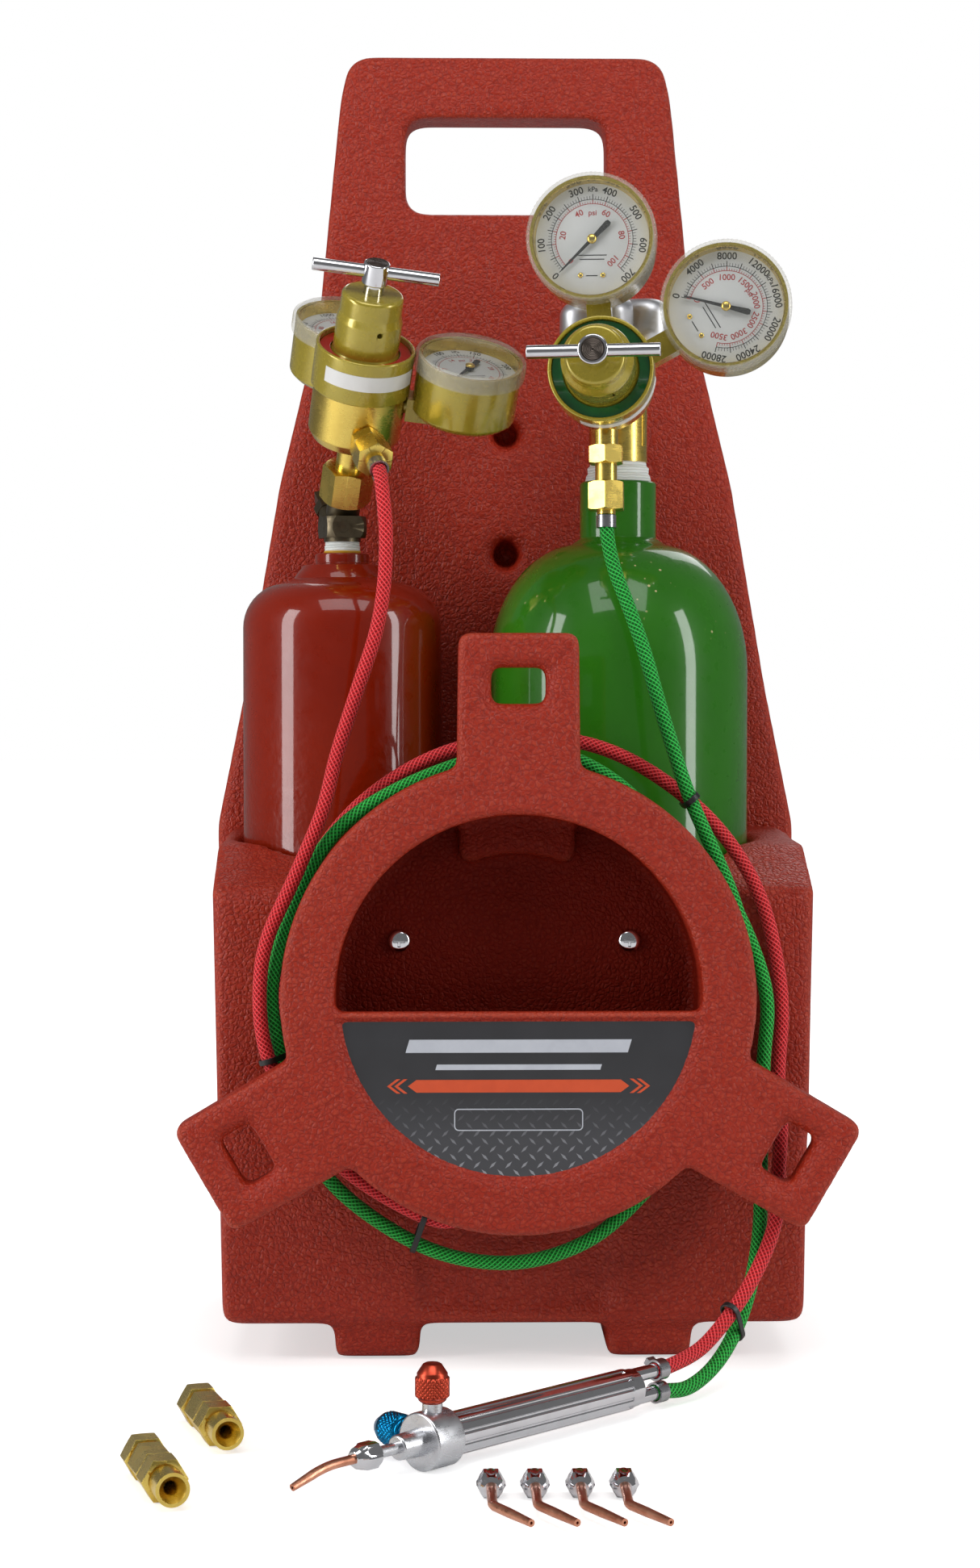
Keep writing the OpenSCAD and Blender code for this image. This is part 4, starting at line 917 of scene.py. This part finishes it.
def dial_print(name, gauge, body, outer, inner, ticks):
    """Scales, numerals, plain bars, a gold inner ring and two rivets on one dial.

    outer and inner are the numbers along each scale.
    """
    face = -DIAL_DEPTH + 0.00006
    radius = gauge.r - DIAL_MARGIN
    up = gauge.at(0.5, 1, 0)
    right = Vector((up.y, -up.x, 0))

    def tick(share, r0, r1, width, verts, faces):
        """A bar along the radius."""
        direction = gauge.at(share, 1, 0)
        side = Vector((-direction.y, direction.x, 0)) * width / 2
        base = len(verts)
        for r, s in ((r0, -1), (r1, -1), (r1, 1), (r0, 1)):
            verts.append(direction * r + side * s + Vector((0, 0, face)))
        faces.append((base, base + 1, base + 2, base + 3))

    def arc(r0, r1, verts, faces, steps=90):
        """A band along the whole scale."""
        base = len(verts)
        for k in range(steps + 1):
            verts.extend((gauge.at(k / steps, r0, face), gauge.at(k / steps, r1, face)))
        for n in range(base, base + 2 * steps, 2):
            faces.append((n, n + 1, n + 3, n + 2))

    def write(text, share, r, size, verts, faces):
        """Text that reads upright along the radius, as printed dials do."""
        out = gauge.at(share, 1, 0)
        x = Vector((out.y, -out.x, 0))
        spot = out * r
        base = len(verts)
        shape, shape_faces = number_shape(text, size)
        verts.extend(spot + x * p.x + out * p.y + Vector((0, 0, face)) for p in shape)
        faces.extend(tuple(base + k for k in f) for f in shape_faces)

    for label, colour, numbers, r_num, r_in, r_out, size in (
        ("outer", "needle_black", outer, 0.86, 0.69, 0.75, 0.17),
        ("inner", "red_ink", inner, 0.5, 0.615, 0.655, 0.145),
    ):
        verts, faces = [], []
        for k in range(ticks + 1):
            long = k % 5 == 0
            tick(k / ticks, r_in * radius, (r_out + (0.03 if long else 0)) * radius,
                 0.0004 if long else 0.00024, verts, faces)
        arc((r_in - 0.004) * radius, (r_in + 0.007) * radius, verts, faces)
        for k, text in enumerate(numbers):
            write(text, k / (len(numbers) - 1), r_num * radius, size * radius, verts, faces)
        if label == "outer":
            write("kPa", 0.5, 0.86 * radius, 0.12 * radius, verts, faces)
            for row, width in ((-0.27, 0.5), (-0.34, 0.42), (-0.62, 0.2)):
                base = len(verts)
                for sx, tall in ((-1, 0), (1, 0), (1, 0.0005), (-1, 0.0005)):
                    verts.append(right * sx * width * radius / 2 + up * (row * radius + tall)
                                 + Vector((0, 0, face)))
                faces.append((base, base + 1, base + 2, base + 3))
        else:
            write("psi", 0.5, 0.46 * radius, 0.13 * radius, verts, faces)
        add(f"{name}_{label}_scale", moved(gauge.place, verts), faces, body, colour)
    ring = [(radius - 0.0002, -DIAL_DEPTH + 0.0001), (radius, -DIAL_DEPTH + 0.0016),
            (radius + 0.0001, -0.0024), (radius - 0.0006, -0.0023),
            (radius - 0.001, -DIAL_DEPTH + 0.0008), (radius - 0.0011, -DIAL_DEPTH + 0.0001)]
    verts, faces = lathe(ring, 96)
    faces = [f for f in faces if len(f) == 4]
    brass_piece(name + "_inner_ring", gauge, verts, faces, body, 50)
    dot, dot_faces = lathe([(0.0013, face), (0.0012, face + 0.0004), (0.0007, face + 0.0006),
                            (0.0, face + 0.0007)], 20)
    verts, faces = [], []
    for side in (-1, 1):
        base = len(verts)
        spot = -up * radius * 0.6 + right * side * radius * 0.19
        verts += [Vector(v) + spot for v in dot]
        faces += [tuple(base + k for k in f) for f in dot_faces]
    brass_piece(name + "_rivets", gauge, verts, faces, body, 60)


def lens(name, gauge, body):
    """A clear domed cap with a ribbed rim, over the CAD lens."""
    r, ribs, rib_deep = gauge.r, 90, 0.00035
    skirt_r, foot_z, window_r = r - 0.00165, -0.009, r - 0.002

    def ribbed(a, radius, z):
        if radius > r - 0.0004 and -0.0082 < z < -0.0012:
            return radius - rib_deep * (0.5 + 0.5 * math.cos(ribs * a)) ** 2
        return radius

    rim = [(skirt_r, foot_z), (r - 0.0002, foot_z), (r, -0.0084), (r, -0.0075), (r, -0.002),
           (r, -0.0013), (r - 0.0004, -0.0006), (r - 0.001, -0.0001), (r - 0.0019, 0.0001),
           (window_r, -0.0012), (skirt_r, -0.0022), (skirt_r, foot_z)]
    verts, faces = lathe(rim, ribs * 4, ribbed)
    faces = [f for f in faces if len(f) <= 4]
    cap = add(name + "_rim", moved(gauge.place, verts), faces, body, "lens_rim", smooth=30)
    dome = [(window_r * q, 0.0018 * (1 - q * q) + 0.0001) for q in np.linspace(1, 0, 9)]
    under = [(x, z - 0.0013) for x, z in dome[::-1]]
    verts, faces = lathe(dome + under, 96)
    faces = [f for f in faces if len(f) <= 4]
    window = add(name + "_window", moved(gauge.place, verts), faces, body, "clear_lens", smooth=60)
    return window


def hub(name, gauge, body):
    """The brass cap at a needle's centre."""
    z = -DIAL_DEPTH + 0.0026
    verts, faces = lathe([(0.0024, z), (0.0023, z + 0.0006), (0.0014, z + 0.0011),
                          (0.0, z + 0.0012)], 32)
    brass_piece(name + "_hub", gauge, verts, faces, body, 60)


def scale(step, count):
    """Evenly stepped numbers from zero, as text."""
    return [str(step * k) for k in range(count + 1)]


GAUGES = {
    "acet_low": ("acetylene_set", ACET_GAUGE, scale(50, 5), scale(7, 5), 50),
    "acet_high": ("acetylene_set", ACET_GAUGE, scale(500, 5), scale(80, 5), 50),
    "oxy_low": ("oxygen_set", OXY_GAUGE, scale(100, 7), scale(20, 5), 70),
    "oxy_high": ("oxygen_set", OXY_GAUGE, scale(4000, 7), scale(500, 7), 70),
}
for gauge_name, (tank_body, size, outer_numbers, inner_numbers, tick_count) in GAUGES.items():
    g = Gauge(f"swing_{gauge_name}_needle", f"{gauge_name}_needle", size)
    dial_print(gauge_name + "_dial", g, tank_body, outer_numbers, inner_numbers, tick_count)
    window = lens(gauge_name + "_lens", g, tank_body)
    hub(gauge_name, g, BODY_OF[f"{gauge_name}_needle"])
    if gauge_name.endswith("_low"):
        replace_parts(window, gauge_name.replace("_low", "_gauge_lenses"))


# -------------------- label and stickers


PRINT = 0.00012
low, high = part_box("label_plate")
front_y, label_x, label_w, label_top = low.y, (low.x + high.x) / 2, high.x - low.x, high.z


def flat_shape(name, outlines, look):
    """Closed flat shapes printed on the front of the label."""
    verts, faces = [], []
    for outline in outlines:
        base, n = len(verts), len(outline)
        verts += [(x, y, z) for y in (front_y - PRINT, front_y) for x, z in outline]
        faces.append(tuple(base + k for k in range(n)))
        faces.append(tuple(base + n + k for k in reversed(range(n))))
        for k in range(n):
            j = (k + 1) % n
            faces.append((base + k, base + j, base + n + j, base + n + k))
    add(name, verts, faces, "tote", look, smooth=20)


def band_outline(x0, x1, z0, z1, point):
    """A bar whose ends come to points."""
    mid = (z0 + z1) / 2
    return [(x0, z0), (x1, z0), (x1 + point, mid), (x1, z1), (x0, z1), (x0 - point, mid)]


def chevron(x, z0, z1, point, wide):
    """A bar bent to a point in the middle."""
    mid = (z0 + z1) / 2
    return [(x, z0), (x + point, mid), (x, z1), (x - wide, z1), (x + point - wide, mid),
            (x - wide, z0)]


band_z0, band_z1 = label_top - 0.0345, label_top - 0.0285
half_band = label_w * 0.285
band = band_outline(label_x - half_band, label_x + half_band, band_z0, band_z1, 0.004)
flat_shape("label_band", [band], "label_orange")
marks = []
for side in (-1, 1):
    for k in range(2):
        shape = chevron(half_band + 0.006 + 0.0034 * k, band_z0 - 0.0004, band_z1 + 0.0004,
                        0.0045, 0.0018)
        marks.append([(label_x + side * x, z) for x, z in shape[::side]])
flat_shape("label_chevrons", marks, "label_orange")


def rounded_box(cx, cz, w, h, r, steps=6):
    """The outline of a box with round corners."""
    out = []
    for sx, sz, a0 in ((1, 1, 0), (-1, 1, 90), (-1, -1, 180), (1, -1, 270)):
        for k in range(steps + 1):
            a = math.radians(a0 + 90 * k / steps)
            out.append((cx + sx * (w / 2 - r) + r * math.cos(a),
                        cz + sz * (h / 2 - r) + r * math.sin(a)))
    return out


def outline_strip(name, cx, cz, w, h, r, line, look):
    """A rounded rectangular line, as one strip."""
    outside = rounded_box(cx, cz, w, h, r)
    inside = rounded_box(cx, cz, w - 2 * line, h - 2 * line, r - line)
    n = len(outside)
    verts = [(x, y, z) for y in (front_y - PRINT, front_y) for x, z in outside + inside]
    faces = []
    for k in range(n):
        j = (k + 1) % n
        faces += [(k, j, n + j, n + k), (2 * n + k, 2 * n + j, 3 * n + j, 3 * n + k),
                  (k, j, 2 * n + j, 2 * n + k), (n + k, n + j, 3 * n + j, 3 * n + k)]
    add(name, verts, faces, "tote", look, smooth=20)


outline_strip("label_frame", label_x, label_top - 0.0475, label_w * 0.36, 0.0105, 0.0022, 0.0005,
              "label_pale")


def slanted(cx, cz, wide, tall):
    """A plain bar with slanted ends."""
    lean = tall * 0.3
    return [(cx - wide / 2 - lean / 2, cz - tall / 2), (cx + wide / 2 - lean / 2, cz - tall / 2),
            (cx + wide / 2 + lean / 2, cz + tall / 2), (cx - wide / 2 + lean / 2, cz + tall / 2)]


flat_shape("label_bars", [slanted(label_x, label_top - 0.0125, label_w * 0.62, 0.0062),
                          slanted(label_x, label_top - 0.0225, label_w * 0.46, 0.0026)],
           "label_pale")


def wrap_label(name, joint, drop, radius, arc, turn, body):
    """A blank paper strip round a regulator's bonnet: arc degrees of it, centred on turn."""
    axis = -Vector(JOINTS[joint]["axis"]).normalized()
    place = basis(Vector(JOINTS[joint]["pos_m"]) - axis * drop, axis, (1, 0, 0))
    steps, tall = 30, 0.008
    verts, faces = [], []
    for r in (radius + 0.00008, radius + 0.00022):
        for z in (0.0, tall):
            for k in range(steps + 1):
                a = math.radians(turn - arc / 2 + arc * k / steps)
                verts.append((r * math.cos(a), r * math.sin(a), z))
    n = steps + 1
    for first, across in ((0, n), (2 * n, n), (0, 2 * n), (n, 2 * n)):
        for k in range(first, first + steps):
            faces.append((k, k + 1, across + k + 1, across + k))
    for k in (0, steps):
        faces.append((k, n + k, 3 * n + k, 2 * n + k))
    strip = add(name, moved(place, verts), faces, body, "paper_white", smooth=40)


wrap_label("acet_bonnet_label", "turn_acet_adjusting_screw", 0.0425, 0.025, 120, -78,
           "acetylene_set")
wrap_label("oxy_bonnet_label", "turn_oxy_adjusting_screw", 0.0555, 0.0257, 110, -60, "oxygen_set")


# -------------------- stage, light and camera


FLOOR_REACH, FLOOR_Z = 12, -0.0004
WORLD_FILL = 0.17
CAMERA_PLACE = (-0.040, -1.5, 0.330)
CAMERA_DOWN, CAMERA_RIGHT = 1.853, 1.146  # degrees
TARGET = (0.0, 0.0, 0.3)
SOFT_BOXES = {  # place, size in metres, watts
    "left": ((-1.5, -0.7, 0.7), (0.45, 1.4), 17),
    "right": ((1.5, -0.75, 0.7), (0.3, 1.4), 12),
    "top": ((0.0, -1.0, 1.9), (1.5, 1.0), 15),
    "back": ((0.3, 1.5, 1.5), (1.4, 1.0), 9),
}


def stage():
    """The pale floor, and a world that is white to the camera and a dim fill to the rest."""
    mesh = bpy.data.meshes.new("floor")
    corners = [(sx * FLOOR_REACH, sy * FLOOR_REACH, FLOOR_Z)
               for sx, sy in ((-1, -1), (1, -1), (1, 1), (-1, 1))]
    mesh.from_pydata(corners, [], [(0, 1, 2, 3)])
    mesh.materials.append(pale_floor())
    floor = bpy.data.objects.new("floor", mesh)
    bpy.context.scene.collection.objects.link(floor)
    world = bpy.data.worlds.new("studio")
    world.use_nodes = True
    nodes, links = world.node_tree.nodes, world.node_tree.links
    background = nodes["Background"].inputs
    background["Color"].default_value = (1, 1, 1, 1)
    seen = nodes.new("ShaderNodeLightPath").outputs["Is Camera Ray"]
    level = nodes.new("ShaderNodeMapRange")
    level.inputs["To Min"].default_value = WORLD_FILL
    level.inputs["To Max"].default_value = 1.0
    links.new(seen, level.inputs["Value"])
    links.new(level.outputs["Result"], background["Strength"])
    bpy.context.scene.world = world


def soft_box(name, place, size, power):
    """A rectangular area light aimed at the object."""
    lamp = bpy.data.lights.new(name, "AREA")
    lamp.shape = "RECTANGLE"
    lamp.size, lamp.size_y = size
    lamp.energy = power
    obj = bpy.data.objects.new(name, lamp)
    bpy.context.scene.collection.objects.link(obj)
    obj.location = place
    obj.rotation_euler = (Vector(TARGET) - Vector(place)).to_track_quat("-Z", "Y").to_euler()


def photographer():
    """The camera, in front and a little to the left, at half the object's height."""
    camera = bpy.data.objects.new("camera", bpy.data.cameras.new("camera"))
    bpy.context.scene.collection.objects.link(camera)
    camera.location = CAMERA_PLACE
    camera.data.lens = 66.7
    camera.data.sensor_width = 36
    camera.rotation_euler = (math.radians(90 - CAMERA_DOWN), 0, math.radians(-CAMERA_RIGHT))
    camera.data.clip_start = 0.05
    bpy.context.scene.camera = camera


stage()
for lamp_name, (spot, area, watts) in SOFT_BOXES.items():
    soft_box(lamp_name, spot, area, watts)
photographer()
bpy.context.scene.view_settings.view_transform = "Standard"
